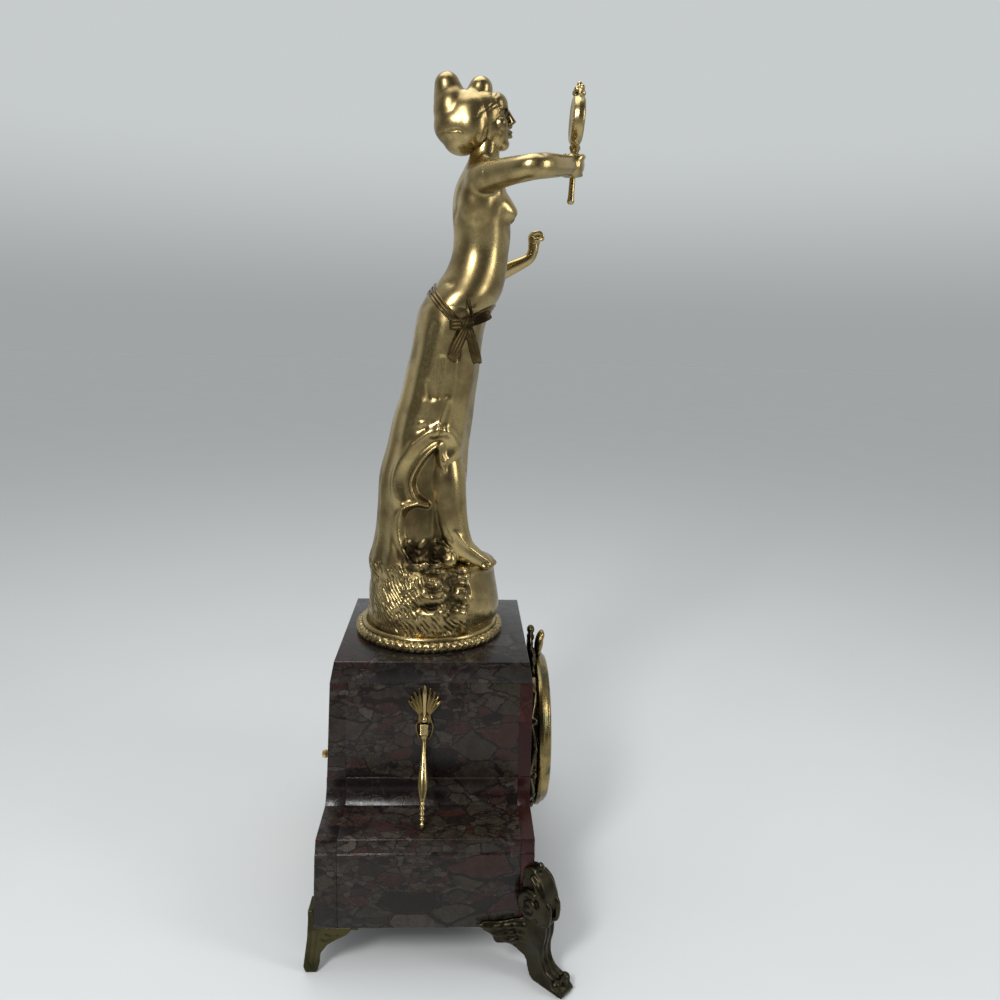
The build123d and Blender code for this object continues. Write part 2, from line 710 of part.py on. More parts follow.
# Wheels from the rear plate forward and from the front plate back, each at its own level.
great_y = REAR_PLATE - 7.0
wheel_y = PLATE_BACK + 4.6
centre_y = PLATE_BACK + 10.6
third_y = PLATE_BACK + 22.6
escape_y = PLATE_BACK + 30.4
WINDER_R = 2.0
WINDER_PIVOT = 1.6
SQUARE_HALF = 1.6
SQUARE_LONG = 12.0
BARREL_LONG = 14.0
BARREL_HUB = 4.0
RATCHET_TEETH = 18
RATCHET_R = 7.0
RATCHET_ROOT = 5.8
RATCHET_T = 1.7
barrel = y_rod(*BARREL, great_y - BARREL_LONG, great_y, GREAT_TEETH * GREAT_MOD / 2 - 1.4)
barrel += toothed(BARREL, GREAT_TEETH, GREAT_MOD, TOOTH, aim(BARREL, MID), great_y, great_y + 2.2)
barrel += y_rod(*BARREL, great_y - BARREL_LONG - 2.0, great_y + 4.0, BARREL_HUB)
barrel -= y_rod(*BARREL, great_y - 2 * BARREL_LONG, great_y + BARREL_LONG, WINDER_R + RUN_FIT)
put("going_barrel", barrel)

ratchet_y = COLLAR_END - 2.2
ratchet_pts = []
for k in range(RATCHET_TEETH):
    tip_turn = 2 * math.pi * k / RATCHET_TEETH
    root_turn = 2 * math.pi * (k + 0.9) / RATCHET_TEETH
    for r, a in ((RATCHET_R, tip_turn), (RATCHET_ROOT, root_turn)):
        ratchet_pts.append((BARREL[0] + r * math.cos(a), BARREL[1] + r * math.sin(a)))
winding = y_rod(*BARREL, ratchet_y, REAR_PLATE - END_SHAKE, WINDER_R)
winding += y_rod(*BARREL, REAR_PLATE - 0.4, REAR_PLATE_END - PIVOT_SHY, WINDER_PIVOT)
winding += slab_xz(ratchet_pts, ratchet_y, ratchet_y + RATCHET_T)
winding += block(
    BARREL[0] - SQUARE_HALF,
    BARREL[0] + SQUARE_HALF,
    ratchet_y - SQUARE_LONG,
    ratchet_y,
    BARREL[1] - SQUARE_HALF,
    BARREL[1] + SQUARE_HALF,
)
put("winding_arbor", winding)

click_at = (BARREL[0] + 10.5, BARREL[1] - 5.0)
click = y_rod(*click_at, ratchet_y, COLLAR_END + 0.5, 2.0)
click += slab_xz(
    [
        (click_at[0] - 1.6, click_at[1] + 0.8),
        (click_at[0] + 1.8, click_at[1] + 0.8),
        (click_at[0] - 1.5, click_at[1] + 8.0),
        (click_at[0] - 2.6, click_at[1] + 8.0),
    ],
    ratchet_y,
    ratchet_y + RATCHET_T,
)

# Pivot radii, used for the arbors and for the holes in the plates.
CENTRE_R = 1.2
CENTRE_PIVOT = 0.8
MID_PIVOT = 0.7
THIRD_PIVOT = 0.5
ESCAPE_PIVOT = 0.4
ANCHOR_PIVOT = 0.9
mid_wheel = toothed(MID, MID_TEETH, MID_MOD, TOOTH, aim(MID, CENTRE), wheel_y, wheel_y + 1.4)
mid_wheel = crossed(mid_wheel, MID, 13.6, 3.6, wheel_y, wheel_y + 1.4)
mid_turn = gap_turn(aim(BARREL, MID), GREAT_LEAVES)
mid_wheel += toothed(MID, GREAT_LEAVES, GREAT_MOD, LEAF, mid_turn, great_y - 1.5, great_y + 3.5)
mid_wheel += arbor(MID, 1.1, MID_PIVOT)
put("intermediate_wheel", mid_wheel)

centre_wheel = toothed(CENTRE, CENTRE_TEETH, CENTRE_MOD, TOOTH, aim(CENTRE, THIRD), centre_y, centre_y + 1.2)
centre_wheel = crossed(centre_wheel, CENTRE, 13.6, 3.6, centre_y, centre_y + 1.2)
centre_turn = gap_turn(aim(MID, CENTRE), MID_LEAVES)
centre_wheel += toothed(CENTRE, MID_LEAVES, MID_MOD, LEAF, centre_turn, wheel_y - 2.0, wheel_y + 3.4)
centre_wheel += y_rod(*CENTRE, FRAME_FRONT + 5.2, REAR_PLATE - END_SHAKE, CENTRE_R)
centre_wheel += y_rod(*CENTRE, REAR_PLATE - 0.4, REAR_PLATE_END - PIVOT_SHY, CENTRE_PIVOT)
put("centre_wheel", centre_wheel)

third_wheel = toothed(THIRD, THIRD_TEETH, THIRD_MOD, TOOTH, aim(THIRD, ESCAPE), third_y, third_y + 1.1)
third_wheel = crossed(third_wheel, THIRD, 11.4, 2.6, third_y, third_y + 1.1)
third_turn = gap_turn(aim(CENTRE, THIRD), THIRD_LEAVES)
third_wheel += toothed(THIRD, THIRD_LEAVES, CENTRE_MOD, LEAF_7, third_turn, centre_y - 1.5, centre_y + 2.7)
third_wheel += arbor(THIRD, 0.75, THIRD_PIVOT)
put("third_wheel", third_wheel)

ESCAPE_DEEP = 1.5
ESCAPE_T = 0.9
# One escape tooth: depth below the tip, and share of the way to the next tooth.
ESCAPE_TOOTH = ((ESCAPE_DEEP, 0.0), (0.0, 0.34), (0.0, 0.44), (ESCAPE_DEEP, 0.55))
escape_pts = []
for k in range(ESCAPE_TEETH):
    for deep, share in ESCAPE_TOOTH:
        a = 2 * math.pi * (k + share) / ESCAPE_TEETH
        r = ESCAPE_R - deep
        escape_pts.append((ESCAPE[0] + r * math.cos(a), ESCAPE[1] + r * math.sin(a)))
escape_wheel = slab_xz(escape_pts, escape_y, escape_y + ESCAPE_T)
escape_wheel = crossed(escape_wheel, ESCAPE, 7.2, 2.0, escape_y, escape_y + ESCAPE_T)
escape_turn = gap_turn(aim(THIRD, ESCAPE), ESCAPE_LEAVES)
escape_wheel += toothed(ESCAPE, ESCAPE_LEAVES, THIRD_MOD, LEAF_7, escape_turn, third_y - 1.5, third_y + 2.6)
escape_wheel += arbor(ESCAPE, 0.62, ESCAPE_PIVOT)
put("escape_wheel", escape_wheel)

# Anchor on the pendulum's axis, its crutch behind the rear plate. The pallets keep outside the tooth tips.
ax, az = ANCHOR
reach = ESCAPE_R + 1.6
pallet_a = math.radians(48)
px = reach * math.sin(pallet_a)
pz = ESCAPE[1] + reach * math.cos(pallet_a)
anchor_pts = [
    (0, az + 2.6),
    (px + 1.4, pz + 3.0),
    (px + 2.8, pz + 0.4),
    (px, pz),
    (px - 0.8, pz + 2.2),
    (2.4, az - 1.9),
]
anchor_pts += [(-x, z) for x, z in reversed(anchor_pts[1:])]
crutch_y = REAR_PLATE_END + 1.2
anchor = slab_xz(anchor_pts, escape_y - 0.3, escape_y + 1.2)
anchor += y_rod(ax, az, COLLAR_END + PIVOT_SHY, crutch_y + 2.9, ANCHOR_PIVOT)
anchor += y_rod(ax, az, crutch_y, crutch_y + 2.9, 2.2)
fork_z = az - 34.0
anchor += block(-0.8, 0.8, crutch_y + 0.6, crutch_y + 2.2, fork_z, az)
for s in (-1, 1):
    anchor += block(s * 1.4, s * 2.8, crutch_y + 0.6, PENDULUM_Y + 2.4, fork_z - 1.6, fork_z + 1.6)
anchor += block(-2.8, 2.8, crutch_y + 0.6, crutch_y + 2.2, fork_z - 1.6, fork_z + 1.6)
put("anchor_crutch", anchor)

# Suspension cock on the rear plate: two posts, arched bar, slit block for the spring.
cock = slab_xz(
    [
        (-19, az - 6),
        (-19, az),
        (-8, az + 13),
        (8, az + 13),
        (19, az),
        (19, az - 6),
        (13, az - 6),
        (6, az + 4.5),
        (-6, az + 4.5),
        (-13, az - 6),
    ],
    PENDULUM_Y + 5.0,
    PENDULUM_Y + 7.4,
)
for s in (-1, 1):
    cock += y_rod(s * 16, az - 3, REAR_PLATE_END, PENDULUM_Y + 5.5, 2.4)
cock += block(-3.2, 3.2, PENDULUM_Y - 2.8, PENDULUM_Y + 5.5, az + 2.4, az + 12.5)
cock -= block(-0.8, 0.8, PENDULUM_Y - 4.0, PENDULUM_Y + 3.2, az + 2.0, az + 8.0)
put("suspension_cock", cock)

# The pendulum is as long as the case has room for, from the suspension down to the floor slab.
bob_z = FLOOR_Z + PENDULUM_ROOM + ROD_END + BOB_R
rod_top = az - 11.0
spring = block(-0.15, 0.15, PENDULUM_Y - 2.4, PENDULUM_Y + 2.4, rod_top, az + 3.5)
put("suspension_spring", spring)
nut_z = bob_z - BOB_R
pendulum_rod = z_rod(0, PENDULUM_Y, nut_z - ROD_END, rod_top, ROD_R)
pendulum_rod += block(-ROD_R, ROD_R, PENDULUM_Y - 2.6, PENDULUM_Y + 2.6, rod_top - 5.0, rod_top)
put("pendulum_rod", pendulum_rod)
BOB_EDGE = 0.6
BOB_RISE = 3.6
lens = make_face(
    [
        dome(-BOB_EDGE, BOB_R, -BOB_RISE),
        Line((BOB_R, -BOB_EDGE), (BOB_R, BOB_EDGE)),
        dome(BOB_EDGE, BOB_R, BOB_RISE),
        Line((0, BOB_EDGE + BOB_RISE), (0, -BOB_EDGE - BOB_RISE)),
    ]
)
rod_hole = z_rod(0, PENDULUM_Y, nut_z - PAST, bob_z + BOB_R + PAST, ROD_R + 0.05)
bob = Pos(0, PENDULUM_Y, bob_z) * revolve(lens, Axis.Y) - rod_hole
put("pendulum_bob", bob)
rating_nut = z_rod(0, PENDULUM_Y, nut_z - 3.0, nut_z, 3.2) - rod_hole
put("rating_nut", rating_nut)

# Motion work under the dial.
CANNON_R = 2.0
HOUR_PIPE_R = 3.0
MOTION_POST = 0.9
work_y = COLLAR_END - 1.2
cannon_turn = gap_turn(aim(MOTION, CENTRE), CANNON_LEAVES)
cannon = toothed(CENTRE, CANNON_LEAVES, CANNON_MOD, LEAF, cannon_turn, work_y - 3.4, work_y)
cannon += y_rod(*CENTRE, FRAME_FRONT + 4.6, work_y, CANNON_R)
cannon -= y_rod(*CENTRE, FRAME_FRONT, work_y + PAST, CENTRE_R + RUN_FIT)
put("cannon_pinion", cannon)

motion = toothed(MOTION, MOTION_TEETH, CANNON_MOD, TOOTH, aim(MOTION, CENTRE), work_y - 2.4, work_y - 1.2)
motion_turn = gap_turn(aim(CENTRE, MOTION), MOTION_LEAVES)
motion += toothed(MOTION, MOTION_LEAVES, MOTION_MOD, LEAF, motion_turn, work_y - 6.2, work_y - 2.4)
motion += y_rod(*MOTION, work_y - 1.2, work_y + 0.2, 2.2)
motion -= y_rod(*MOTION, work_y - 2 * PAST, work_y + PAST, MOTION_POST + RUN_FIT)
put("motion_wheel", motion)

hour_wheel = toothed(CENTRE, HOUR_TEETH, MOTION_MOD, TOOTH, aim(CENTRE, MOTION), work_y - 5.8, work_y - 4.4)
hour_pipe_end = FRAME_FRONT + 8.6
hour_wheel += y_rod(*CENTRE, hour_pipe_end, work_y - 4.4, HOUR_PIPE_R)
hour_wheel -= y_rod(*CENTRE, FRAME_FRONT, work_y + PAST, CANNON_R + RUN_FIT)
put("hour_wheel", hour_wheel)

# Hands, pierced ring near the tip.
def hand(length, hub, bore_r, ring, y0, y1, turn):
    shape = Circle(hub)
    eye = length * 0.68
    shaft = eye - ring * 0.8
    tip_root = eye + ring * 0.8
    shape += Pos(0, shaft / 2) * Rectangle(1.5, shaft)
    shape += Pos(0, eye) * Circle(ring)
    shape -= Pos(0, eye) * Circle(ring * 0.55)
    shape += make_face(Polyline((-1.1, tip_root), (0, length), (1.1, tip_root), close=True))
    shape -= Circle(bore_r)
    face = Plane(origin=(0, y1, DIAL_Z), x_dir=(1, 0, 0), z_dir=(0, -1, 0))
    return extrude(face * Rot(0, 0, -turn) * shape, amount=y1 - y0)


# The hands show ten past ten.
HAND_T = 0.8
SHOWN_HOUR = 10
SHOWN_MINUTE = 10
hour_turn = 30 * (SHOWN_HOUR + SHOWN_MINUTE / 60)
hour_hand = hand(27.0, 5.0, HOUR_PIPE_R, 3.6, hour_pipe_end, hour_pipe_end + HAND_T, hour_turn)
put("hour_hand", hour_hand)
minute_y = FRAME_FRONT + 5.9
minute_hand = hand(38.5, 3.8, CANNON_R, 3.0, minute_y, minute_y + HAND_T, 6 * SHOWN_MINUTE)
collet = y_rod(*CENTRE, minute_y - 1.2, minute_y + HAND_T / 2, 3.2)
minute_hand = minute_hand + collet - y_rod(*CENTRE, minute_y - PAST, minute_y + PAST, CANNON_R)
put("minute_hand", minute_hand)

# Plates, pillars and the screws that hold the movement to the collar.
PILLAR_OUT = 39.0
PILLAR_R = 2.4
PILLAR_TURNS = (0, 70, 150, 250)
TONGUE_HALF = 7.0
TONGUE_END = 47.2
front_plate = y_rod(*CENTRE, COLLAR_END, PLATE_BACK, PLATE_R)
front_plate += block(
    -TONGUE_HALF, TONGUE_HALF, COLLAR_END, PLATE_BACK, DIAL_Z - TONGUE_END, DIAL_Z + TONGUE_END
)
front_plate += y_rod(*MOTION, COLLAR_END - 8.0, COLLAR_END, MOTION_POST)
rear_plate = y_rod(*CENTRE, REAR_PLATE, REAR_PLATE_END, PLATE_R)
for at, front_hole, rear_hole in (
    (CENTRE, CENTRE_R, CENTRE_PIVOT),
    (BARREL, WINDER_R, WINDER_PIVOT),
    (MID, MID_PIVOT, MID_PIVOT),
    (THIRD, THIRD_PIVOT, THIRD_PIVOT),
    (ESCAPE, ESCAPE_PIVOT, ESCAPE_PIVOT),
    (ANCHOR, ANCHOR_PIVOT, ANCHOR_PIVOT),
):
    front_plate -= y_rod(*at, COLLAR_END - 1, PLATE_BACK + 1, front_hole + RUN_FIT)
    rear_plate -= y_rod(*at, REAR_PLATE - 1, REAR_PLATE_END + 1, rear_hole + RUN_FIT)
for s in (-1, 1):
    screw_z = DIAL_Z + s * PLATE_SCREW_AT
    front_plate -= y_rod(0, screw_z, COLLAR_END - 1, PLATE_BACK + 1, PLATE_SCREW_R + 0.05)
front_plate += click
for turn in PILLAR_TURNS:
    x = PILLAR_OUT * math.cos(math.radians(turn))
    z = DIAL_Z + PILLAR_OUT * math.sin(math.radians(turn))
    front_plate += y_rod(x, z, PLATE_BACK - 0.5, REAR_PLATE, PILLAR_R)
put("front_plate", front_plate)
put("rear_plate", rear_plate)
plate_screws = []
for s in (-1, 1):
    screw_z = DIAL_Z + s * PLATE_SCREW_AT
    shank = y_rod(0, screw_z, COLLAR_END - 3.5, PLATE_BACK, PLATE_SCREW_R)
    plate_screws.append(shank + y_rod(0, screw_z, PLATE_BACK, PLATE_BACK + 1.6, 1.9))
put("plate_screws", group(plate_screws))

# Enamel dial with winding hole, on three feet.
DIAL_T = 1.6
DIAL_RISE = 1.8
DIAL_FOOT_OUT = 34.0
DIAL_FOOT_R = 1.6
DIAL_FOOT_TURNS = (100, 220, 340)
dial_edge = DIAL_BACK - DIAL_T
dial_half = make_face(
    [
        dome(dial_edge, DIAL_R, -DIAL_RISE),
        Polyline((DIAL_R, dial_edge), (DIAL_R, DIAL_BACK), (0, DIAL_BACK), (0, dial_edge - DIAL_RISE)),
    ]
)
dial = Pos(0, 0, DIAL_Z) * revolve(dial_half, Axis.Y)
dial -= y_rod(*CENTRE, DIAL_BACK - 2 * PAST, DIAL_BACK + PAST, HOUR_PIPE_R + 0.4)
dial -= y_rod(*BARREL, DIAL_BACK - 2 * PAST, DIAL_BACK + PAST, 3.3)
for turn in DIAL_FOOT_TURNS:
    x = DIAL_FOOT_OUT * math.cos(math.radians(turn))
    z = DIAL_Z + DIAL_FOOT_OUT * math.sin(math.radians(turn))
    dial += y_rod(x, z, DIAL_BACK - 0.5, COLLAR_END, DIAL_FOOT_R)
put("dial", dial)

# Rear frame, straps from the front collar to it, screws, door and hinge pin.
rear_ring = turned(
    [
        (REAR_SIGHT, BACK_Y),
        (COLLAR_R, BACK_Y),
        (COLLAR_R, REAR_SEAT),
        (REAR_FRAME_R, REAR_SEAT),
        (REAR_FRAME_R, REAR_SEAT + REAR_FRAME_T),
        (COLLAR_R - 1.4, REAR_SEAT + REAR_FRAME_T),
        (COLLAR_R - 1.4, BACK_Y + REAR_FLANGE),
        (REAR_SIGHT, BACK_Y + REAR_FLANGE),
    ]
)
rear_x = REAR_DOOR_R + 1.9
rear_y = REAR_SEAT + 6.2
REAR_KNUCKLE_R = 1.8
REAR_KNUCKLE_END = KNUCKLE_HALF + 5.0
STRAP_SCREW_AT = 44.0
STRAP_SCREW_R = 1.2
STRAP_HOLE = 1.25
STRAP_HALF = 5.5
STRAP_IN = 45.0
STRAP_OUT = 47.0
STRAP_LUG = 9.0
rear_bore = z_rod(
    rear_x, rear_y, DIAL_Z - REAR_KNUCKLE_END - PAST, DIAL_Z + REAR_KNUCKLE_END + PAST, PIN_R + PIN_FIT
)
rear_frame = rear_ring
for s in (-1, 1):
    z0 = DIAL_Z + s * (KNUCKLE_HALF + KNUCKLE_GAP)
    z1 = DIAL_Z + s * REAR_KNUCKLE_END
    rear_frame += block(rear_x - 1.5, rear_x + 1.5, REAR_SEAT + 2.5, rear_y, z0, z1)
    rear_frame += z_rod(rear_x, rear_y, min(z0, z1), max(z0, z1), REAR_KNUCKLE_R)
rear_frame -= rear_bore
for s in (-1, 1):
    rear_frame -= y_rod(s * STRAP_SCREW_AT, DIAL_Z, BACK_Y - 1, BACK_Y + REAR_FLANGE + 1, STRAP_HOLE)
put("rear_frame", rear_frame)

straps = []
strap_screws = []
for s in (-1, 1):
    screw_x = s * STRAP_SCREW_AT
    strap = block(s * STRAP_IN, s * STRAP_OUT, COLLAR_END, BACK_Y, DIAL_Z - STRAP_HALF, DIAL_Z + STRAP_HALF)
    strap += block(s * 41.0, s * 45.5, BACK_Y - STRAP_LUG, BACK_Y, DIAL_Z - STRAP_HALF, DIAL_Z + STRAP_HALF)
    straps.append(strap - y_rod(screw_x, DIAL_Z, BACK_Y - STRAP_LUG - PAST, BACK_Y + PAST, STRAP_HOLE))
    head_y = BACK_Y + REAR_FLANGE
    shank = y_rod(screw_x, DIAL_Z, BACK_Y - STRAP_LUG + 1.0, head_y, STRAP_SCREW_R)
    strap_screws.append(shank + y_rod(screw_x, DIAL_Z, head_y, head_y + 2.0, 2.2))
put("case_straps", group(straps))
put("strap_screws", group(strap_screws))

COVER_T = 2.0
COVER_R = 45.0
COVER_RISE = 4.0
KNOB_OUT = 46.5
cover_y = REAR_SEAT + REAR_FRAME_T + HINGE_GAP
cover_out = cover_y + COVER_T
cover_in = cover_y + 0.2
cover_half = make_face(
    [
        dome(cover_out, COVER_R, COVER_RISE),
        Polyline(
            (COVER_R, cover_out),
            (REAR_DOOR_R, cover_out),
            (REAR_DOOR_R, cover_y),
            (COVER_R - 1.0, cover_y),
            (COVER_R - 1.0, cover_in),
        ),
        dome(cover_in, COVER_R - 1.0, COVER_RISE),
        Line((0, cover_in + COVER_RISE), (0, cover_out + COVER_RISE)),
    ]
)
rear_door = Pos(0, 0, DIAL_Z) * revolve(cover_half, Axis.Y)
rear_lug = block(REAR_DOOR_R - 3.5, rear_x, rear_y - 1.6, rear_y + 0.6, knuckle_low, knuckle_high)
rear_lug += z_rod(rear_x, rear_y, knuckle_low, knuckle_high, REAR_KNUCKLE_R)
rear_door += rear_lug - rear_bore
rear_door += turned(
    [
        (0, cover_y + 1.0),
        (2.6, cover_y + 1.0),
        (1.6, cover_y + 4.5),
        (3.2, cover_y + 7.0),
        (2.4, cover_y + 9.5),
        (0, cover_y + 9.9),
    ],
    -KNOB_OUT,
)
put("rear_door", rear_door)
rear_low = DIAL_Z - REAR_KNUCKLE_END
rear_high = DIAL_Z + REAR_KNUCKLE_END
rear_pin = z_rod(rear_x, rear_y, rear_low - PIN_CAP_T / 2, rear_high + PIN_CAP_T / 2, PIN_R)
rear_pin += z_rod(rear_x, rear_y, rear_high, rear_high + PIN_CAP_T, PIN_CAP_R)
rear_pin += z_rod(rear_x, rear_y, rear_low - PIN_CAP_T, rear_low, PIN_CAP_R)
put("rear_hinge_pin", rear_pin)

# Figure, drawn from the top slab upwards.
UP = Pos(0, 0, TOP_Z)
stud_hole = z_rod(0, RING_Y, -PAST, STUD_TOP + 0.5, STUD_R + 0.05)
ring_half = make_face(
    [
        Polyline((0, PLATE_TOP), (0, 0), (RING_R - 1.2, 0)),
        Spline(
            (RING_R - 1.2, 0),
            (RING_R, RING_H * 0.45),
            (RING_R - 2.2, RING_H * 0.9),
            (RING_R - 5.6, RING_H),
            (RING_R - 7.5, PLATE_TOP),
        ),
        Line((RING_R - 7.5, PLATE_TOP), (0, PLATE_TOP)),
    ]
)
rope_ring = Pos(0, RING_Y, 0) * revolve(Plane.XZ * ring_half, Axis.Z) - stud_hole
put("rope_ring", UP * rope_ring)

ROCK_MID = (RING_H + ROCK_TOP) / 2 - 4.5
ROCK_HIGH = ROCK_TOP - 11.8
ROCK_WALL = 5.6
ROCK = ((PLATE_TOP, 2.8, 47.6, 47.8), (ROCK_MID, 0.5, 50.0, 49.5), (ROCK_HIGH, 1.5, 48.5, 48.0))
rock = body_loft([*ROCK, (ROCK_TOP, 2.5, 46.5, 45.0)])
rock_hollow = []
for height, middle, deep, wide in (*ROCK[:2], (ROCK_TOP - 8.0, 1.5, 47.0, 46.0)):
    rock_hollow.append((height, middle, deep - ROCK_WALL, wide - ROCK_WALL))
boss = z_rod(0, RING_Y, PLATE_TOP, ROCK_TOP - 4.0, 8.0)
put("rock_base", UP * (rock - body_loft(rock_hollow) + boss - stud_hole))

NUT_T = 5.0
WASHER_T = 1.6
WASHER_R = 9.0
stud = z_rod(0, RING_Y, -TOP_SLAB - WASHER_T - NUT_T - 2.4, STUD_TOP, STUD_R)
put("fixing_stud", UP * stud)
nut = z_rod(0, RING_Y, -TOP_SLAB - WASHER_T, -TOP_SLAB, WASHER_R)
nut += extrude(Pos(0, RING_Y, -TOP_SLAB - WASHER_T - NUT_T) * RegularPolygon(6.0, 6), amount=NUT_T + 0.4)
nut -= z_rod(0, RING_Y, -TOP_SLAB - WASHER_T - NUT_T - PAST, -TOP_SLAB + PAST, STUD_R + STUD_PLAY / 2)
put("stud_nut", UP * nut)

# Skirt: share of the way from the rock to the belt, centre, half depth, half width, depth of the folds.
CLOTH = (
    (0.0, 16, 34, 38, 0.045),
    (0.123, 12, 32.5, 35, 0.045),
    (0.224, 11.2, 31.6, 33, 0.042),
    (0.357, 9.3, 32, 31, 0.038),
    (0.474, 5.9, 29.8, 30, 0.034),
    (0.586, 2.3, 28.8, 30, 0.03),
    (0.677, -1.2, 27, 30, 0.024),
    (0.767, -4.2, 26.2, 30.5, 0.018),
    (0.847, -6.6, 25.1, 31, 0.012),
    (0.921, -8, 24.6, 31.5, 0.006),
    (1.0, -12.5, 25.5, 31, 0.0),
)
CAST_WALL = 5.0
DRAPE = BELT_H - ROCK_TOP
SKIRT = [(ROCK_TOP + share * DRAPE, *rest) for share, *rest in CLOTH]


def leg_hollow(wall):
    """Where the cloth opens round the bare leg, larger by a wall."""
    return ball(-30, -20, ROCK_TOP + 0.198 * DRAPE, 27 + wall, 27 + wall, 0.191 * DRAPE + wall)


cloth = loft([draped(*section) for section in SKIRT]) - leg_hollow(0)
cloth_core = body_loft([(z, cy, hy - CAST_WALL, hx - CAST_WALL) for z, cy, hy, hx, depth in SKIRT])
cloth_core -= leg_hollow(CAST_WALL)
# Calf and foot: x, y, height over the rock as a share of the drape or in millimetres, radius.
CALF = ((-13, -4, 0.411, 12), (-14, -11, 0.304, 10.5), (-14.5, -14.5, 0.224, 8.8), (-15, -15, 0.155, 7.6))
ANKLE = (-15, -13, 13.2, 7.6)
FOOT = ((-15, -4, 7.7, 6.5), (-16, -18, 8.7, 8), (-17, -32, 6.2, 6.6), (-17.5, -44.5, 3.6, 3.9))
calf = [(x, y, ROCK_TOP + share * DRAPE, r) for x, y, share, r in CALF]
foot = [(x, y, ROCK_TOP + over, r) for x, y, over, r in (ANKLE, *FOOT)]
bare_leg = limb([*calf, foot[0]]) + limb(foot[1:])
bare_leg -= Pos(0, 0, ROCK_TOP / 2) * Box(4 * RING_R, 4 * RING_R, ROCK_TOP)
skirt = cloth + bare_leg
put("figure_skirt", UP * largest(cloth - cloth_core + bare_leg))

# Upper figure, in heights above the belt.
OVER = Pos(0, 0, TOP_Z + BELT_H)
TORSO = (
    (0, -12.5, 25.5, 31),
    (9.2, -18.2, 26.4, 30),
    (17.2, -23.2, 24.4, 27),
    (28.2, -27.6, 21.9, 24),
    (39.2, -30, 20.5, 22.5),
    (51.2, -31, 21, 24),
    (66.2, -30.5, 21.8, 27.5),
    (78.2, -29.6, 20, 30),
    (89.2, -29, 16.5, 30),
    (97.2, -30, 12.5, 22),
)
torso_core = body_loft([(z, cy, hy - CAST_WALL, hx - CAST_WALL) for z, cy, hy, hx in TORSO[:-2]])
neck = limb([(0, -30.5, 87.2, 11.8), (0, -31.5, 99.2, 10.8), (0, -32.5, 111.2, 10.4)])
nape = body_loft([(91.2, -29, 15, 25), (97.2, -30, 12.5, 17), (104.2, -31.5, 11.2, 11.4)])
waist = body_loft(TORSO)
torso = waist + neck + nape
for s in (-1, 1):
    torso += ball(s * 11.5, -46, 64.7, 10.4)
    torso += ball(s * 27.5, -29.5, 86.7, 9.6)
put("figure_torso", OVER * (torso - torso_core))

# Head: skull tilted a little back, mass of hair, nape knot, two buns, nose.
HEAD_TILT = -8
head = Pos(0, -29.5, 131.2) * Rot(HEAD_TILT, 0, 0) * scale(Sphere(1.0), by=(15.5, 19, 20.5))
head += ball(0, -15, 131.2, 18, 19.5, 19.5)
head += ball(0, -9.5, 114.2, 12, 9.5, 8.5)
head += ball(0, -6, 148.4, 10)
head += ball(0, -27.5, 148.5, 8)
head += ball(0, -46.5, 129.7, 2.6, 4.0, 5.0)
put("figure_head", OVER * (head - torso))

# Hand mirror: disc with a raised rim on both faces, turned handle, two beads on top.
MIRROR_AT = (-27.0, -91.0)
MIRROR_H = 124.5
MIRROR_YAW = 8
MIRROR_RIM = (
    (0, -1.6),
    (12.2, -1.6),
    (12.8, -2.9),
    (14.4, -2.9),
    (15.5, 0),
    (14.4, 2.9),
    (12.8, 2.9),
    (12.2, 1.6),
    (0, 1.6),
)
HANDLE = ((2.0, 71.2), (2.9, 75.2), (2.2, 83.2), (2.0, 97.2), (2.6, 103.2), (4.0, 107.2), (3.0, 110.7))
mirror_disc = Pos(0, 0, MIRROR_H) * revolve(make_face(Polyline(*MIRROR_RIM, close=True)), Axis.Y)
handle_ends = Polyline(HANDLE[-1], (0, HANDLE[-1][1]), (0, HANDLE[0][1]), HANDLE[0])
handle = revolve(Plane.XZ * make_face([Spline(*HANDLE), handle_ends]), Axis.Z)
beads = Pos(0, 0, MIRROR_H + 17.6) * Sphere(3.4) + Pos(0, 0, MIRROR_H + 21.5) * Sphere(2.4)
hand_mirror = Pos(*MIRROR_AT, 0) * Rot(0, 0, MIRROR_YAW) * (mirror_disc + handle + beads)
put("hand_mirror", OVER * hand_mirror)

# Right arm out to the elbow and back in to the mirror; left arm down, forward and up to the closed hand.
RIGHT_ELBOW = (-63, -60, 88.6, 7.8)
LEFT_ELBOW = (38.5, -25, 23.2, 7.0)
LEFT_WRIST = (35, -70, 41.2, 4.2)
ELBOW_SWELL = 0.1
right_arm = limb([(-24, -28, 85.7, 9.0), (-38, -38, 87.2, 9.2), (-51, -49, 88.2, 8.6), RIGHT_ELBOW])
right_arm += limb([RIGHT_ELBOW, (-52, -73, 91.2, 7.2), (-42, -81, 93.2, 6.0), (-31, -88, 95.2, 5.2)])
right_arm += ball(*RIGHT_ELBOW[:3], RIGHT_ELBOW[3] + ELBOW_SWELL)
right_arm += ball(-29, -90, 95.7, 8.6, 7.8, 8.4)
put("figure_right_arm", OVER * largest(right_arm - torso - hand_mirror))

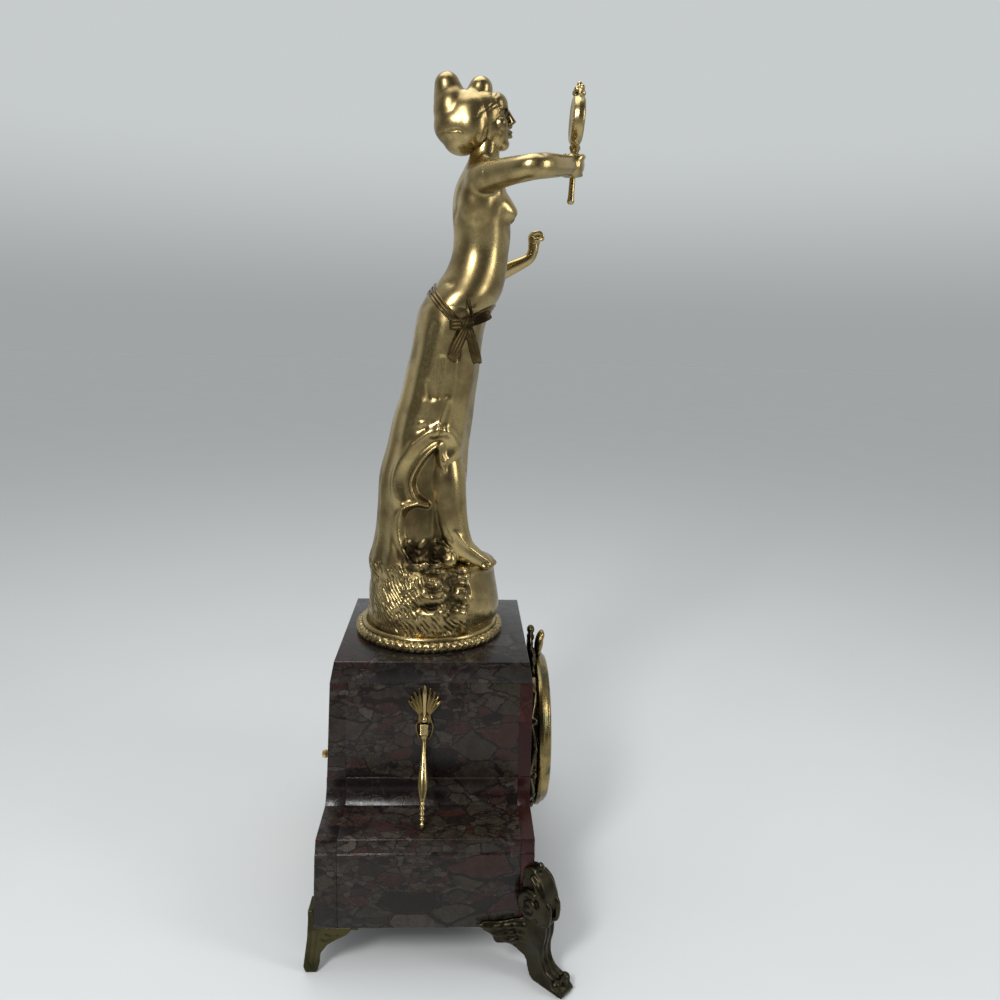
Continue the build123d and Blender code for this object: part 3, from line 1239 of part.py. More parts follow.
left_arm = limb([(24, -28.5, 86.2, 9.0), (33, -27, 75.2, 9.0), (37, -25, 49.2, 8.0), LEFT_ELBOW])
left_arm += ball(*LEFT_ELBOW[:3], LEFT_ELBOW[3] + ELBOW_SWELL)
left_arm += limb([LEFT_ELBOW, (37.5, -42, 28.2, 6.4), (36, -58, 34.2, 5.2), LEFT_WRIST])
left_arm += ball(*LEFT_WRIST[:3], LEFT_WRIST[3] + ELBOW_SWELL)
left_arm += limb([LEFT_WRIST, (35, -71, 47.2, 4.2), (35, -71.5, 53.2, 4.4)])
left_arm += ball(35, -71.5, 54.2, 6.0, 6.6, 5.6)
put("figure_left_arm", OVER * largest(left_arm - torso - Pos(0, 0, -BELT_H) * skirt))

# Belt: a tilted band round the waist, two cords down to the knot on the near hip, bow loops and two tails.
BELT_PROUD = 2.6
BAND_TILT = 13
BAND_AT = (0, -17, 9.8)
CORD_R = 2.3
CORD_STARTS = ((-25.5, -0.3, 8.2), (-24.0, -38.0, 3.2))
KNOT = (-35.0, -20.5, -10.3)
KNOT_R = 4.6
BOW_X = KNOT[0] - 1.2
LOOP_R = 6.0
LOOP_BORE = 2.8
LOOP_T = 4.2
LOOPS = ((9.5, -2.5), (-9.5, 1.5))
TAIL_OUTS = (12.0, -6.0)
TAIL_DROP = 24.5
HIP_GAP = 0.4
hips = body_loft([(z - BELT_H, cy, hy + HIP_GAP, hx + HIP_GAP) for z, cy, hy, hx, depth in SKIRT[-4:]])
band_body = body_loft([(z, cy, hy + BELT_PROUD, hx + BELT_PROUD) for z, cy, hy, hx in TORSO[:4]])
sash = band_body & Pos(*BAND_AT) * Rot(BAND_TILT, 0, 0) * Box(4 * RING_R, 4 * RING_R, 2 * BELT_PROUD)
for start in CORD_STARTS:
    sash += limb([(*start, CORD_R), (*KNOT, CORD_R)])
sash += ball(*KNOT, KNOT_R)
loop = Rot(0, 90, 0) * (Cylinder(LOOP_R, LOOP_T) - Cylinder(LOOP_BORE, 2 * LOOP_T))
for out, rise in LOOPS:
    sash += Pos(BOW_X, KNOT[1] + out, KNOT[2] + rise) * loop
for out in TAIL_OUTS:
    tail_end = (BOW_X, KNOT[1] + out, KNOT[2] - TAIL_DROP, CORD_R)
    sash += limb([(BOW_X, KNOT[1], KNOT[2] - 1.0, CORD_R), tail_end])
put("belt_sash", OVER * largest(sash - waist - hips))
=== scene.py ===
import math

import bpy
import numpy as np
from mathutils import Matrix, Vector, noise


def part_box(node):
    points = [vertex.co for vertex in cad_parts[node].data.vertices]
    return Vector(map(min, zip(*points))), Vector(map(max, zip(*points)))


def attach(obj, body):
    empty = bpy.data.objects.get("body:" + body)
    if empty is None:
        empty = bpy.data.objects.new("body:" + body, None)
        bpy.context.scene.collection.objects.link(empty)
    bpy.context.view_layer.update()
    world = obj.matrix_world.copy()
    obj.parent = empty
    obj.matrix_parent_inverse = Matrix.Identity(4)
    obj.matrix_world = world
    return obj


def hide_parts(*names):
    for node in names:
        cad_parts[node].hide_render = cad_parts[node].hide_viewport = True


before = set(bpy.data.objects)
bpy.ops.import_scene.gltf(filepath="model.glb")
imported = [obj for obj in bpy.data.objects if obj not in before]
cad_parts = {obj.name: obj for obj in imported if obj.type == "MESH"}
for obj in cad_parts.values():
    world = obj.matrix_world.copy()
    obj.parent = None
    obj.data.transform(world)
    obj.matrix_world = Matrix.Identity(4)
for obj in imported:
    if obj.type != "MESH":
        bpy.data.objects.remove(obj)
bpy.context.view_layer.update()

# Marble case
# Sawn slabs of dark brecciated marble, glued up as a box and polished. The front is one slab of plain
# red stone and the top is a greyer one. Their edges were eased by hand and catch the light.
MM = 0.001
STONE_EDGE = 0.5 * MM
JOINT_EDGE = 0.15 * MM


def only(piece):
    bpy.ops.object.select_all(action="DESELECT")
    piece.select_set(True)
    bpy.context.view_layer.objects.active = piece


def edit_all(piece):
    """Open a piece in edit mode with everything selected."""
    only(piece)
    bpy.ops.object.mode_set(mode="EDIT")
    bpy.ops.mesh.select_all(action="SELECT")


def leave_edit():
    bpy.ops.object.mode_set(mode="OBJECT")


def apply_modifiers(piece):
    only(piece)
    for modifier in list(piece.modifiers):
        bpy.ops.object.modifier_apply(modifier=modifier.name)


def new_piece(name, data):
    piece = bpy.data.objects.new(name, data)
    bpy.context.collection.objects.link(piece)
    return piece


def copy_of(node, name):
    """A free copy of a CAD node's mesh, welded, with its flat faces whole again."""
    piece = new_piece(name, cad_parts[node].data.copy())
    piece.data.materials.clear()
    edit_all(piece)
    bpy.ops.mesh.customdata_custom_splitnormals_clear()
    bpy.ops.mesh.remove_doubles(threshold=0.002 * MM)
    bpy.ops.mesh.dissolve_limited(angle_limit=math.radians(0.4))
    leave_edit()
    return piece


def ease_edges(piece, width):
    bevel = piece.modifiers.new("eased", "BEVEL")
    bevel.width = width
    bevel.segments = 3
    bevel.limit_method = "ANGLE"
    bevel.angle_limit = math.radians(30)
    apply_modifiers(piece)
    bpy.ops.object.shade_smooth_by_angle(angle=math.radians(28))


def dress(piece, material):
    piece.data.materials.clear()
    piece.data.materials.append(material)


def stand_in(piece, node, body="case"):
    """Let a finished piece ride on a body and show in place of its CAD node."""
    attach(piece, body)
    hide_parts(node)


def add_node(tree, kind, values=None, **settings):
    """A shader node with its settings and the values of its free inputs."""
    made = tree.nodes.new(kind)
    for key, value in settings.items():
        setattr(made, key, value)
    for key, value in (values or {}).items():
        made.inputs[key].default_value = value
    return made


def object_place(tree):
    return add_node(tree, "ShaderNodeTexCoord").outputs["Object"]


def noise_at(tree, place, scale, detail, roughness=0.5):
    values = {"Scale": scale, "Detail": detail, "Roughness": roughness}
    made = add_node(tree, "ShaderNodeTexNoise", values)
    tree.links.new(place, made.inputs["Vector"])
    return made.outputs[0]


def maths(tree, operation, first, second):
    made = add_node(tree, "ShaderNodeMath", operation=operation)
    for place, source in enumerate((first, second)):
        if isinstance(source, (int, float)):
            made.inputs[place].default_value = source
        else:
            tree.links.new(source, made.inputs[place])
    return made.outputs[0]


def blend_colours(tree, share, first, second):
    made = add_node(tree, "ShaderNodeMix", data_type="RGBA")
    for place, source in ((0, share), (6, first), (7, second)):
        if isinstance(source, (int, float, tuple)):
            made.inputs[place].default_value = source
        else:
            tree.links.new(source, made.inputs[place])
    return made.outputs[2]


def ramp(tree, source, low, high, start=0.0, end=1.0):
    """Value from start to end as source goes from low to high, eased at both ends."""
    made = add_node(tree, "ShaderNodeMapRange", interpolation_type="SMOOTHSTEP")
    tree.links.new(source, made.inputs[0])
    for place, value in enumerate((low, high, start, end), 1):
        made.inputs[place].default_value = value
    return made.outputs[0]


def shader_group(name, inputs):
    """An empty shader group that puts out a colour, a roughness and a height."""
    tree = bpy.data.node_groups.new(name, "ShaderNodeTree")
    for label, value in inputs.items():
        kind = "NodeSocketColor" if isinstance(value, tuple) else "NodeSocketFloat"
        tree.interface.new_socket(label, in_out="INPUT", socket_type=kind).default_value = value
    tree.interface.new_socket("Color", in_out="OUTPUT", socket_type="NodeSocketColor")
    for label in ("Roughness", "Height"):
        tree.interface.new_socket(label, in_out="OUTPUT", socket_type="NodeSocketFloat")
    return tree, tree.nodes.new("NodeGroupInput").outputs, tree.nodes.new("NodeGroupOutput").inputs


def new_material(name, **constants):
    """A material with its Principled shader; constants are values that hold all over the surface."""
    material = bpy.data.materials.new(name)
    material.use_nodes = True
    shader = material.node_tree.nodes["Principled BSDF"]
    for key, value in constants.items():
        shader.inputs[key.replace("_", " ")].default_value = value
    return material, material.node_tree, shader


def paint(tree, shader, colour, roughness):
    tree.links.new(colour, shader.inputs["Base Color"])
    tree.links.new(roughness, shader.inputs["Roughness"])


def bump(tree, shader, height, depth, strength):
    made = add_node(tree, "ShaderNodeBump", {"Strength": strength, "Distance": depth})
    tree.links.new(height, made.inputs["Height"])
    tree.links.new(made.outputs[0], shader.inputs["Normal"])


def surface(name, group, values, depth, strength, **constants):
    """A material and its shader group; an underscore in a value's name stands for a space."""
    material, tree, shader = new_material(name, **constants)
    named = {key.replace("_", " "): value for key, value in values.items()}
    made = add_node(tree, "ShaderNodeGroup", named, node_tree=group)
    paint(tree, shader, made.outputs["Color"], made.outputs["Roughness"])
    bump(tree, shader, made.outputs["Height"], depth, strength)
    return material, made


def make_breccia():
    """Broken stone: angular clasts of three sizes, each of one shade, in a dark ground with thin veins."""
    tree, given, out = shader_group("breccia", {
        "Clasts per metre": 27.0, "Large share": 0.4, "Middle share": 0.4,
        "Ground": (0.02, 0.013, 0.012, 1), "Grey": (0.06, 0.055, 0.05, 1), "Red": (0.06, 0.02, 0.016, 1),
        "Olive": (0.05, 0.05, 0.04, 1), "Pale": (0.12, 0.11, 0.1, 1),
    })
    place = object_place(tree)
    slanted = add_node(tree, "ShaderNodeMapping", {"Rotation": (0.5, 0.7, 0.3), "Scale": (1.0, 0.72, 1.3)})
    tree.links.new(place, slanted.inputs["Vector"])

    def crumpled(scale, reach):
        """The stone's place, pushed about so that clasts get crooked edges."""
        warp = add_node(tree, "ShaderNodeTexNoise", {"Scale": scale, "Detail": 4.0, "Roughness": 0.6})
        tree.links.new(place, warp.inputs["Vector"])
        centred = add_node(tree, "ShaderNodeVectorMath", {1: (0.5, 0.5, 0.5)}, operation="SUBTRACT")
        tree.links.new(warp.outputs["Color"], centred.inputs[0])
        bent = add_node(tree, "ShaderNodeVectorMath", {1: (reach,) * 3}, operation="MULTIPLY_ADD")
        tree.links.new(centred.outputs[0], bent.inputs[0])
        tree.links.new(slanted.outputs[0], bent.inputs[2])
        return bent.outputs[0]

    def clasts(where, finer):
        scale = maths(tree, "MULTIPLY", given["Clasts per metre"], finer)
        cells = add_node(tree, "ShaderNodeTexVoronoi", feature="F1")
        seams = add_node(tree, "ShaderNodeTexVoronoi", feature="DISTANCE_TO_EDGE")
        for made in (cells, seams):
            tree.links.new(where, made.inputs["Vector"])
            tree.links.new(scale, made.inputs["Scale"])
        parts = add_node(tree, "ShaderNodeSeparateColor")
        tree.links.new(cells.outputs["Color"], parts.inputs[0])
        return *parts.outputs[:3], seams.outputs["Distance"]

    coarse, fine = crumpled(60.0, 0.009), crumpled(170.0, 0.004)
    sizes = clasts(coarse, 1.0), clasts(coarse, 2.1), clasts(fine, 4.6)
    is_large = maths(tree, "LESS_THAN", sizes[0][0], given["Large share"])
    not_large = maths(tree, "SUBTRACT", 1.0, is_large)
    is_middle = maths(tree, "LESS_THAN", sizes[1][0], given["Middle share"])
    is_middle = maths(tree, "MULTIPLY", not_large, is_middle)
    is_small = maths(tree, "SUBTRACT", not_large, is_middle)

    def chosen(column):
        total = maths(tree, "MULTIPLY", sizes[0][column], is_large)
        for size, mask in zip(sizes[1:], (is_middle, is_small)):
            total = maths(tree, "ADD", total, maths(tree, "MULTIPLY", size[column], mask))
        return total

    shade, kind, seam = chosen(1), chosen(2), chosen(3)
    mottle = noise_at(tree, place, 190.0, 6.0, 0.7)
    cloud = noise_at(tree, place, 55.0, 5.0, 0.65)
    halo = maths(tree, "MULTIPLY", ramp(tree, seam, 0.11, 0.05), ramp(tree, mottle, 0.45, 0.62))
    hairs = add_node(tree, "ShaderNodeTexVoronoi", {"Scale": 16.0}, feature="DISTANCE_TO_EDGE")
    tree.links.new(coarse, hairs.inputs["Vector"])
    veined = ramp(tree, hairs.outputs[0], 0.012, 0.002)
    crossing = maths(tree, "MULTIPLY", veined, ramp(tree, cloud, 0.5, 0.6))
    colour = blend_colours(tree, ramp(tree, shade, 0.1, 0.95), given["Ground"], given["Grey"])
    layers = (
        (ramp(tree, kind, 0.5, 0.54, 0.0, 0.85), "Olive"),
        (ramp(tree, kind, 0.8, 0.83, 0.0, 0.9), "Red"),
        (ramp(tree, kind, 0.1, 0.02, 0.0, 0.45), "Pale"),
        (ramp(tree, cloud, 0.48, 0.72, 0.0, 0.6), "Ground"),
        (ramp(tree, mottle, 0.6, 0.34, 0.0, 0.45), "Ground"),
        (maths(tree, "MULTIPLY", halo, 0.22), "Pale"),
        (ramp(tree, seam, 0.075, 0.03, 0.0, 0.95), "Ground"),
        (maths(tree, "MULTIPLY", crossing, 0.3), "Pale"),
    )
    for share, layer in layers:
        colour = blend_colours(tree, share, colour, given[layer])
    tree.links.new(colour, out["Color"])
    tree.links.new(ramp(tree, mottle, 0.3, 0.75, 0.2, 0.34), out["Roughness"])
    tree.links.new(ramp(tree, seam, 0.0, 0.04), out["Height"])
    return tree


BRECCIA = make_breccia()


def stone(name, **values):
    return surface(name, BRECCIA, values, 0.05 * MM, 0.4, Specular_IOR_Level=0.28)[0]


breccia = stone(
    "breccia_marble", Clasts_per_metre=46.0, Large_share=0.34, Middle_share=0.5,
    Ground=(0.006, 0.0036, 0.003, 1), Grey=(0.036, 0.027, 0.021, 1), Red=(0.026, 0.0092, 0.0065, 1),
    Olive=(0.026, 0.021, 0.0135, 1), Pale=(0.075, 0.06, 0.047, 1),
)
red_stone = stone(
    "red_marble", Clasts_per_metre=20.0, Large_share=0.7, Middle_share=0.5,
    Ground=(0.018, 0.0042, 0.0034, 1), Grey=(0.034, 0.0072, 0.0056, 1), Red=(0.04, 0.008, 0.006, 1),
    Olive=(0.026, 0.008, 0.006, 1), Pale=(0.06, 0.024, 0.018, 1),
)
grey_stone = stone(
    "grey_marble", Clasts_per_metre=44.0, Large_share=0.25, Middle_share=0.4,
    Ground=(0.007, 0.005, 0.0045, 1), Grey=(0.026, 0.021, 0.018, 1), Red=(0.021, 0.0095, 0.0075, 1),
    Olive=(0.021, 0.018, 0.014, 1), Pale=(0.07, 0.062, 0.055, 1),
)
# The base blocks have a thin cap: above this height their outer face is set back a little.
CAP_LINE = 89.7 * MM
CAP_SLOPE = 0.8 * MM
CAP_STEP = 1.2 * MM
OUTER_FACE = 118 * MM


def set_cap_back(piece):
    edit_all(piece)
    for height in (CAP_LINE, CAP_LINE + CAP_SLOPE):
        bpy.ops.mesh.select_all(action="SELECT")
        bpy.ops.mesh.bisect(plane_co=(0, 0, height), plane_no=(0, 0, 1))
    leave_edit()
    for corner in piece.data.vertices:
        if abs(corner.co.x) > OUTER_FACE and corner.co.z > CAP_LINE + CAP_SLOPE / 2:
            corner.co.x -= math.copysign(CAP_STEP, corner.co.x)


BRECCIA_NODES = (
    "left_base_block", "right_base_block", "left_shoulder_moulding", "right_shoulder_moulding",
    "left_tower_slab", "right_tower_slab", "back_slab",
)
STONES = {node: (breccia, "breccia_marble") for node in BRECCIA_NODES}
STONES["front_slab"] = (red_stone, "red_marble")
STONES["top_slab"] = (grey_stone, "grey_marble")
SHARP_NODES = ("left_tower_slab", "right_tower_slab", "back_slab", "front_slab")
CAPPED_NODES = ("left_base_block", "right_base_block", "back_slab", "front_slab")
for node, (material, slot) in STONES.items():
    slab = copy_of(node, node + "_stone")
    if node in CAPPED_NODES:
        set_cap_back(slab)
    ease_edges(slab, JOINT_EDGE if node in SHARP_NODES else STONE_EDGE)
    dress(slab, material)
    stand_in(slab, node)
dress(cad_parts["base_floor"], breccia)

# Front feet
# Cast bronze corner feet, dark with age: a fluted leg with a rolled scroll above, leaf wings along the
# base and a beaded toe. Each is screwed up into the base from below.
AXIS_Y = 7.5 * MM
BASE_HALF = 123.6
FRONT_Y = -72.0
DIAGONAL = math.sqrt(0.5)


def spot(x, y, z):
    """A point given in millimetres about the tower's axis, in the frame's metres."""
    return Vector((x * MM, y * MM + AXIS_Y, z * MM))


def through(table, at):
    """Smooth columns through a table whose first column is the place along it."""
    table = np.array(table, float)
    along, values = table[:, 0], table[:, 1:]
    slope = np.gradient(values, along, axis=0)
    at = np.clip(np.asarray(at, float), along[0], along[-1])
    low = np.clip(np.searchsorted(along, at, side="right") - 1, 0, len(along) - 2)
    span = along[low + 1] - along[low]
    t = ((at - along[low]) / span)[:, None]
    span = span[:, None]
    first = (1 + 2 * t) * (1 - t) ** 2 * values[low] + t * (1 - t) ** 2 * span * slope[low]
    return first + t * t * (3 - 2 * t) * values[low + 1] + t * t * (t - 1) * span * slope[low + 1]


def face_outwards(piece):
    edit_all(piece)
    bpy.ops.mesh.normals_make_consistent(inside=False)
    leave_edit()


def skin(name, rings):
    """A closed mesh over rings of points, all with the same count, its two ends closed by fans."""
    rings = np.asarray(rings, float)
    count, sides = rings.shape[:2]
    points = list(map(tuple, rings.reshape(-1, 3)))
    points += [tuple(rings[0].mean(axis=0)), tuple(rings[-1].mean(axis=0))]
    faces = []
    for i in range(count - 1):
        for j in range(sides):
            k = (j + 1) % sides
            faces.append((i * sides + j, i * sides + k, (i + 1) * sides + k, (i + 1) * sides + j))
    for j in range(sides):
        k = (j + 1) % sides
        faces.append((count * sides, k, j))
        faces.append((count * sides + 1, (count - 1) * sides + j, (count - 1) * sides + k))
    mesh = bpy.data.meshes.new(name)
    mesh.from_pydata(points, [], faces)
    piece = new_piece(name, mesh)
    face_outwards(piece)
    bpy.ops.object.shade_smooth()
    return piece


def tube(stations, steps, sides):
    """A smooth round bar through (x, y, z, radius) stations in millimetres."""
    table = [(i, *station) for i, station in enumerate(stations)]
    path = through(table, np.linspace(0, len(stations) - 1, steps))
    centres, radii = path[:, :3], np.maximum(path[:, 3], 0.05)
    ahead = np.gradient(centres, axis=0)
    ahead /= np.linalg.norm(ahead, axis=1)[:, None]
    side = np.cross(ahead[0], (0, 0, 1))
    if np.linalg.norm(side) < 0.2:
        side = np.cross(ahead[0], (0.3, 1.0, 0.2))
    turn = np.linspace(0, 2 * math.pi, sides, endpoint=False)
    rings = []
    for centre, radius, along in zip(centres, radii, ahead):
        side = side - along * np.dot(side, along)
        side /= np.linalg.norm(side)
        across = np.cross(along, side)
        ring = np.outer(np.cos(turn), side) + np.outer(np.sin(turn), across)
        rings.append([spot(*(centre + radius * point)) for point in ring])
    return skin("bar", rings)


def set_size(piece, size, turn=(0, 0, 0)):
    """Scale a fresh primitive, turn it by degrees, and make that its own shape."""
    piece.scale = size
    piece.rotation_euler = [math.radians(angle) for angle in turn]
    only(piece)
    bpy.ops.object.transform_apply(location=True, rotation=True, scale=True)


def lump(x, y, z, a, b=None, c=None, turn=(0, 0, 0)):
    """A ball or ellipsoid of clay, in millimetres."""
    bpy.ops.mesh.primitive_uv_sphere_add(segments=40, ring_count=24, radius=1, location=spot(x, y, z))
    ball = bpy.context.object
    set_size(ball, (a * MM, (b or a) * MM, (c or a) * MM), turn)
    bpy.ops.object.shade_smooth()
    return ball


def joined(name, lumps):
    whole = lumps[0]
    only(whole)
    for extra in lumps[1:]:
        extra.select_set(True)
    if len(lumps) > 1:
        bpy.ops.object.join()
    whole.name = name
    whole.data.name = name
    return whole


def cast(name, lumps, voxel, rounds):
    """One casting of several lumps: joined, skinned over and rubbed smooth."""
    whole = joined(name, lumps)
    remesh = whole.modifiers.new("skinned", "REMESH")
    remesh.mode = "VOXEL"
    remesh.voxel_size = voxel * MM
    remesh.use_smooth_shade = True
    rubbed = whole.modifiers.new("rubbed", "SMOOTH")
    rubbed.factor = 0.5
    rubbed.iterations = rounds
    apply_modifiers(whole)
    bpy.ops.object.shade_smooth()
    return whole


def corners(piece):
    count = len(piece.data.vertices)
    place = np.empty(count * 3)
    lift = np.empty(count * 3)
    piece.data.vertices.foreach_get("co", place)
    piece.data.vertices.foreach_get("normal", lift)
    return place.reshape(-1, 3), lift.reshape(-1, 3)


def move_corners(piece, place):
    piece.data.vertices.foreach_set("co", np.ascontiguousarray(place).ravel())
    piece.data.update()


def away_from(points, route):
    """Distance of each point from a route of straight runs."""
    route = np.array(route, float)
    best = np.full(len(points), 1e9)
    if len(route) == 1:
        return np.linalg.norm(points - route[0], axis=1)
    for a, b in zip(route[:-1], route[1:]):
        run = b - a
        share = np.clip((points - a) @ run / max(run @ run, 1e-12), 0, 1)
        best = np.minimum(best, np.linalg.norm(points - a - share[:, None] * run, axis=1))
    return best


def tool(piece, strokes):
    """Raise or sink the surface along routes; a stroke is (route, half width, height) in millimetres."""
    for route, width, height in strokes:
        place, lift = corners(piece)
        gap = away_from(place, [spot(*point) for point in route]) / MM
        rise = height * MM * np.exp(-((gap / width) ** 2))
        move_corners(piece, place + lift * rise[:, None])


def mirrored(piece, name):
    """The same piece for the other flank."""
    other = new_piece(name, piece.data.copy())
    other.data.transform(Matrix.Diagonal((-1, 1, 1, 1)))
    face_outwards(other)
    return other


def make_aged_metal():
    """Old cast metal: bright on open surfaces, browner in patches; dark in hollows and creases, partly patina
    and partly painted shade, and darker where a mesh carries painted shade.
    """
    tree, given, out = shader_group("aged_metal", {
        "Metal": (0.6, 0.42, 0.15, 1), "Toned": (0.4, 0.26, 0.08, 1), "Recess": (0.04, 0.025, 0.01, 1),
        "Reach": 0.006, "Tone amount": 0.6, "Recess amount": 0.95, "Painted shade": 0.0, "Polish": 0.25,
        "Dullness": 0.5,
    })
    place = object_place(tree)
    patches = noise_at(tree, place, 38.0, 5.0, 0.6)
    specks = noise_at(tree, place, 420.0, 3.0, 0.7)
    # Where nearby surfaces hide the light, and in hollow creases, the colour goes towards Recess: partly the
    # metal's patina in its hollows, partly painted shade.
    shelter = add_node(tree, "ShaderNodeAmbientOcclusion", samples=8, only_local=True)
    tree.links.new(given["Reach"], shelter.inputs["Distance"])
    hidden = ramp(tree, shelter.outputs["AO"], 0.9, 0.4)
    hidden = maths(tree, "MULTIPLY", hidden, given["Recess amount"])
    edge = add_node(tree, "ShaderNodeNewGeometry").outputs["Pointiness"]
    worn = ramp(tree, edge, 0.52, 0.6)
    crevice = ramp(tree, edge, 0.485, 0.43, 0.0, 0.8)
    tone = maths(tree, "MULTIPLY", ramp(tree, patches, 0.4, 0.66), given["Tone amount"])
    colour = blend_colours(tree, tone, given["Metal"], given["Toned"])
    speckled = ramp(tree, specks, 0.6, 0.76, 0.0, 0.3)
    colour = blend_colours(tree, speckled, colour, given["Toned"])
    # Painted shade from the mesh's attribute, laid on in uneven patches.
    uneven_shade = ramp(tree, patches, 0.25, 0.62, 0.72, 1.0)
    patchy_shade = maths(tree, "MULTIPLY", given["Painted shade"], uneven_shade)
    dark = maths(tree, "MAXIMUM", hidden, maths(tree, "MULTIPLY", crevice, given["Recess amount"]))
    dark = maths(tree, "MAXIMUM", dark, patchy_shade)
    colour = blend_colours(tree, dark, colour, given["Recess"])
    colour = blend_colours(tree, maths(tree, "MULTIPLY", worn, 0.6), colour, given["Metal"])
    tree.links.new(colour, out["Color"])
    dull = maths(tree, "MAXIMUM", dark, maths(tree, "MULTIPLY", tone, 0.4))
    span = maths(tree, "SUBTRACT", given["Dullness"], given["Polish"])
    rough = maths(tree, "ADD", given["Polish"], maths(tree, "MULTIPLY", dull, span))
    rough = maths(tree, "ADD", rough, ramp(tree, specks, 0.4, 0.75, 0.0, 0.06))
    tree.links.new(rough, out["Roughness"])
    uneven = maths(tree, "MULTIPLY", specks, 0.12)
    tree.links.new(maths(tree, "ADD", patches, uneven), out["Height"])
    return tree


AGED_METAL = make_aged_metal()


def metal(name, relief=0.06, **values):
    """Aged metal; a mesh may carry an attribute of painted shade, which darkens it towards the recess colour.
    """
    material, made = surface(name, AGED_METAL, values, relief * MM, 0.6, Metallic=1.0)
    painted_shade = add_node(material.node_tree, "ShaderNodeAttribute", attribute_name="painted_shade")
    material.node_tree.links.new(painted_shade.outputs["Fac"], made.inputs["Painted shade"])
    return material


dark_bronze = metal(
    "dark_bronze", 0.12, Metal=(0.05, 0.042, 0.026, 1), Toned=(0.017, 0.015, 0.0095, 1),
    Recess=(0.005, 0.0045, 0.0035, 1), Reach=5 * MM, Tone_amount=0.9, Polish=0.3, Dullness=0.55,
)
# Scroll of the near front foot: its eye, as out along the corner's diagonal and height, and its turns.
SCROLL_EYE = (4.4, 57.0)
SCROLL_R = 11.0
SCROLL_START, SCROLL_STEP, SCROLL_SHRINK = 60, 24, 0.062
# Routes over the near front foot: how far out along the corner's diagonal, height and, for a bar, radius.
FLUTE = (
    (13.4, 44, 1.9), (13.2, 36, 1.9), (11.4, 27, 1.9), (12.2, 18, 1.9), (16.4, 11.4, 1.9), (23.0, 9.0, 1.9),
)
GROOVE = ((16.2, 44), (15.6, 36), (13.6, 27), (14.4, 18), (18.2, 13.2), (23.5, 11.5))
TIP = ((0, 74, 4.6), (3.5, 81, 3.4), (6.2, 83.5, 2.4), (4.4, 86, 1.4))
# A leaf of the wing: how far it runs along the base from the corner, height and radius.
WING = ((0, 36, 5.5), (10, 37.5, 4.6), (22, 36.5, 3.8), (32, 37, 2.6), (37, 38.5, 1.2))


def on_diagonal(out, z, side=0.0):
    """A point of the near front foot: out along the corner's diagonal, and to one side of it."""
    return (-BASE_HALF - DIAGONAL * (out + side), FRONT_Y - DIAGONAL * (out - side), z)


def diagonal_bar(route, side, steps, sides):
    return tube([(*on_diagonal(out, z, side), radius) for out, z, radius in route], steps, sides)


def along_base(side, run, out):
    """A point (x, y) along the flank or the front of the base, counted from the corner."""
    return (-BASE_HALF - out, FRONT_Y + run) if side < 0 else (-BASE_HALF + run, FRONT_Y - out)


def front_foot():
    lumps = [copy_of("left_front_foot", "left_front_foot_cast")]
    for side in (-1, 1):
        scroll = []
        for k in range(24):
            turn = math.radians(SCROLL_START + SCROLL_STEP * k)
            radius = SCROLL_R * math.exp(-SCROLL_SHRINK * k)
            out, z = SCROLL_EYE[0] + radius * math.cos(turn), SCROLL_EYE[1] + radius * math.sin(turn)
            scroll.append((out, z, 2.9 - 0.05 * k))
        lumps.append(diagonal_bar(scroll, 8.6 * side, 90, 14))
        lumps.append(lump(*on_diagonal(*SCROLL_EYE, 9.0 * side), 3.0))
        for start, drift in ((78, 0.0), (72, 4.0), (66, 7.6)):
            lobe = (
                (3.0 + drift, start, 1.4), (9.0 + drift, start - 6, 2.4),
                (13.4 + 0.4 * drift, start - 18, 2.0), (11.0, 46, 1.6),
            )
            lumps.append(diagonal_bar(lobe, side * (7.0 - 0.3 * drift), 30, 12))
        for share, drop in ((1.0, 0.0), (0.78, -5.5), (0.52, -10.5)):
            leaf = []
            for run, z, radius in WING:
                leaf.append((*along_base(side, 1.5 + run * share, 2.0), z + drop, radius * 0.62))
            lumps.append(tube(leaf, 30, 14))
    for offset in (-4.2, 0.0, 4.2):
        lumps.append(diagonal_bar(FLUTE, offset, 40, 12))
    for side in (-1, 0, 1):
        lumps.append(lump(*on_diagonal(27.5 - 1.5 * abs(side), 7.2, 5.2 * side), 3.5))
        lumps.append(lump(*on_diagonal(15.2, 47.5, 3.8 * side), 2.3))
    lumps.append(diagonal_bar(TIP, 0.0, 24, 14))
    foot = cast("left_front_foot_cast", lumps, 0.75, 3)
    grooves = []
    for offset in (-2.1, 2.1):
        grooves.append(([on_diagonal(out, z, offset) for out, z in GROOVE], 0.9, -0.9))
    for side in (-1, 1):
        for share in (0.25, 0.45, 0.65):
            run = 34 * share
            low, high = 24 + 8 * share, 39 - 2 * share
            ends = [(*along_base(side, run, 4), low), (*along_base(side, run + 5, 4), high)]
            grooves.append((ends, 0.8, -0.8))
    tool(foot, grooves)
    return foot


left_front_foot = front_foot()
right_front_foot = mirrored(left_front_foot, "right_front_foot_cast")
for foot, node in ((left_front_foot, "left_front_foot"), (right_front_foot, "right_front_foot")):
    dress(foot, dark_bronze)
    stand_in(foot, node)

# Rear feet
# Flat bracket feet cut from bronze plate, two cheeks at a right angle, with a few lines cut into each
# cheek. They are olive brown, and plainer than the front ones because they face the wall.
BACK_FOOT = 76.2
# Half width and depth of every cut.
REAR_CUT = (0.6, -0.7)
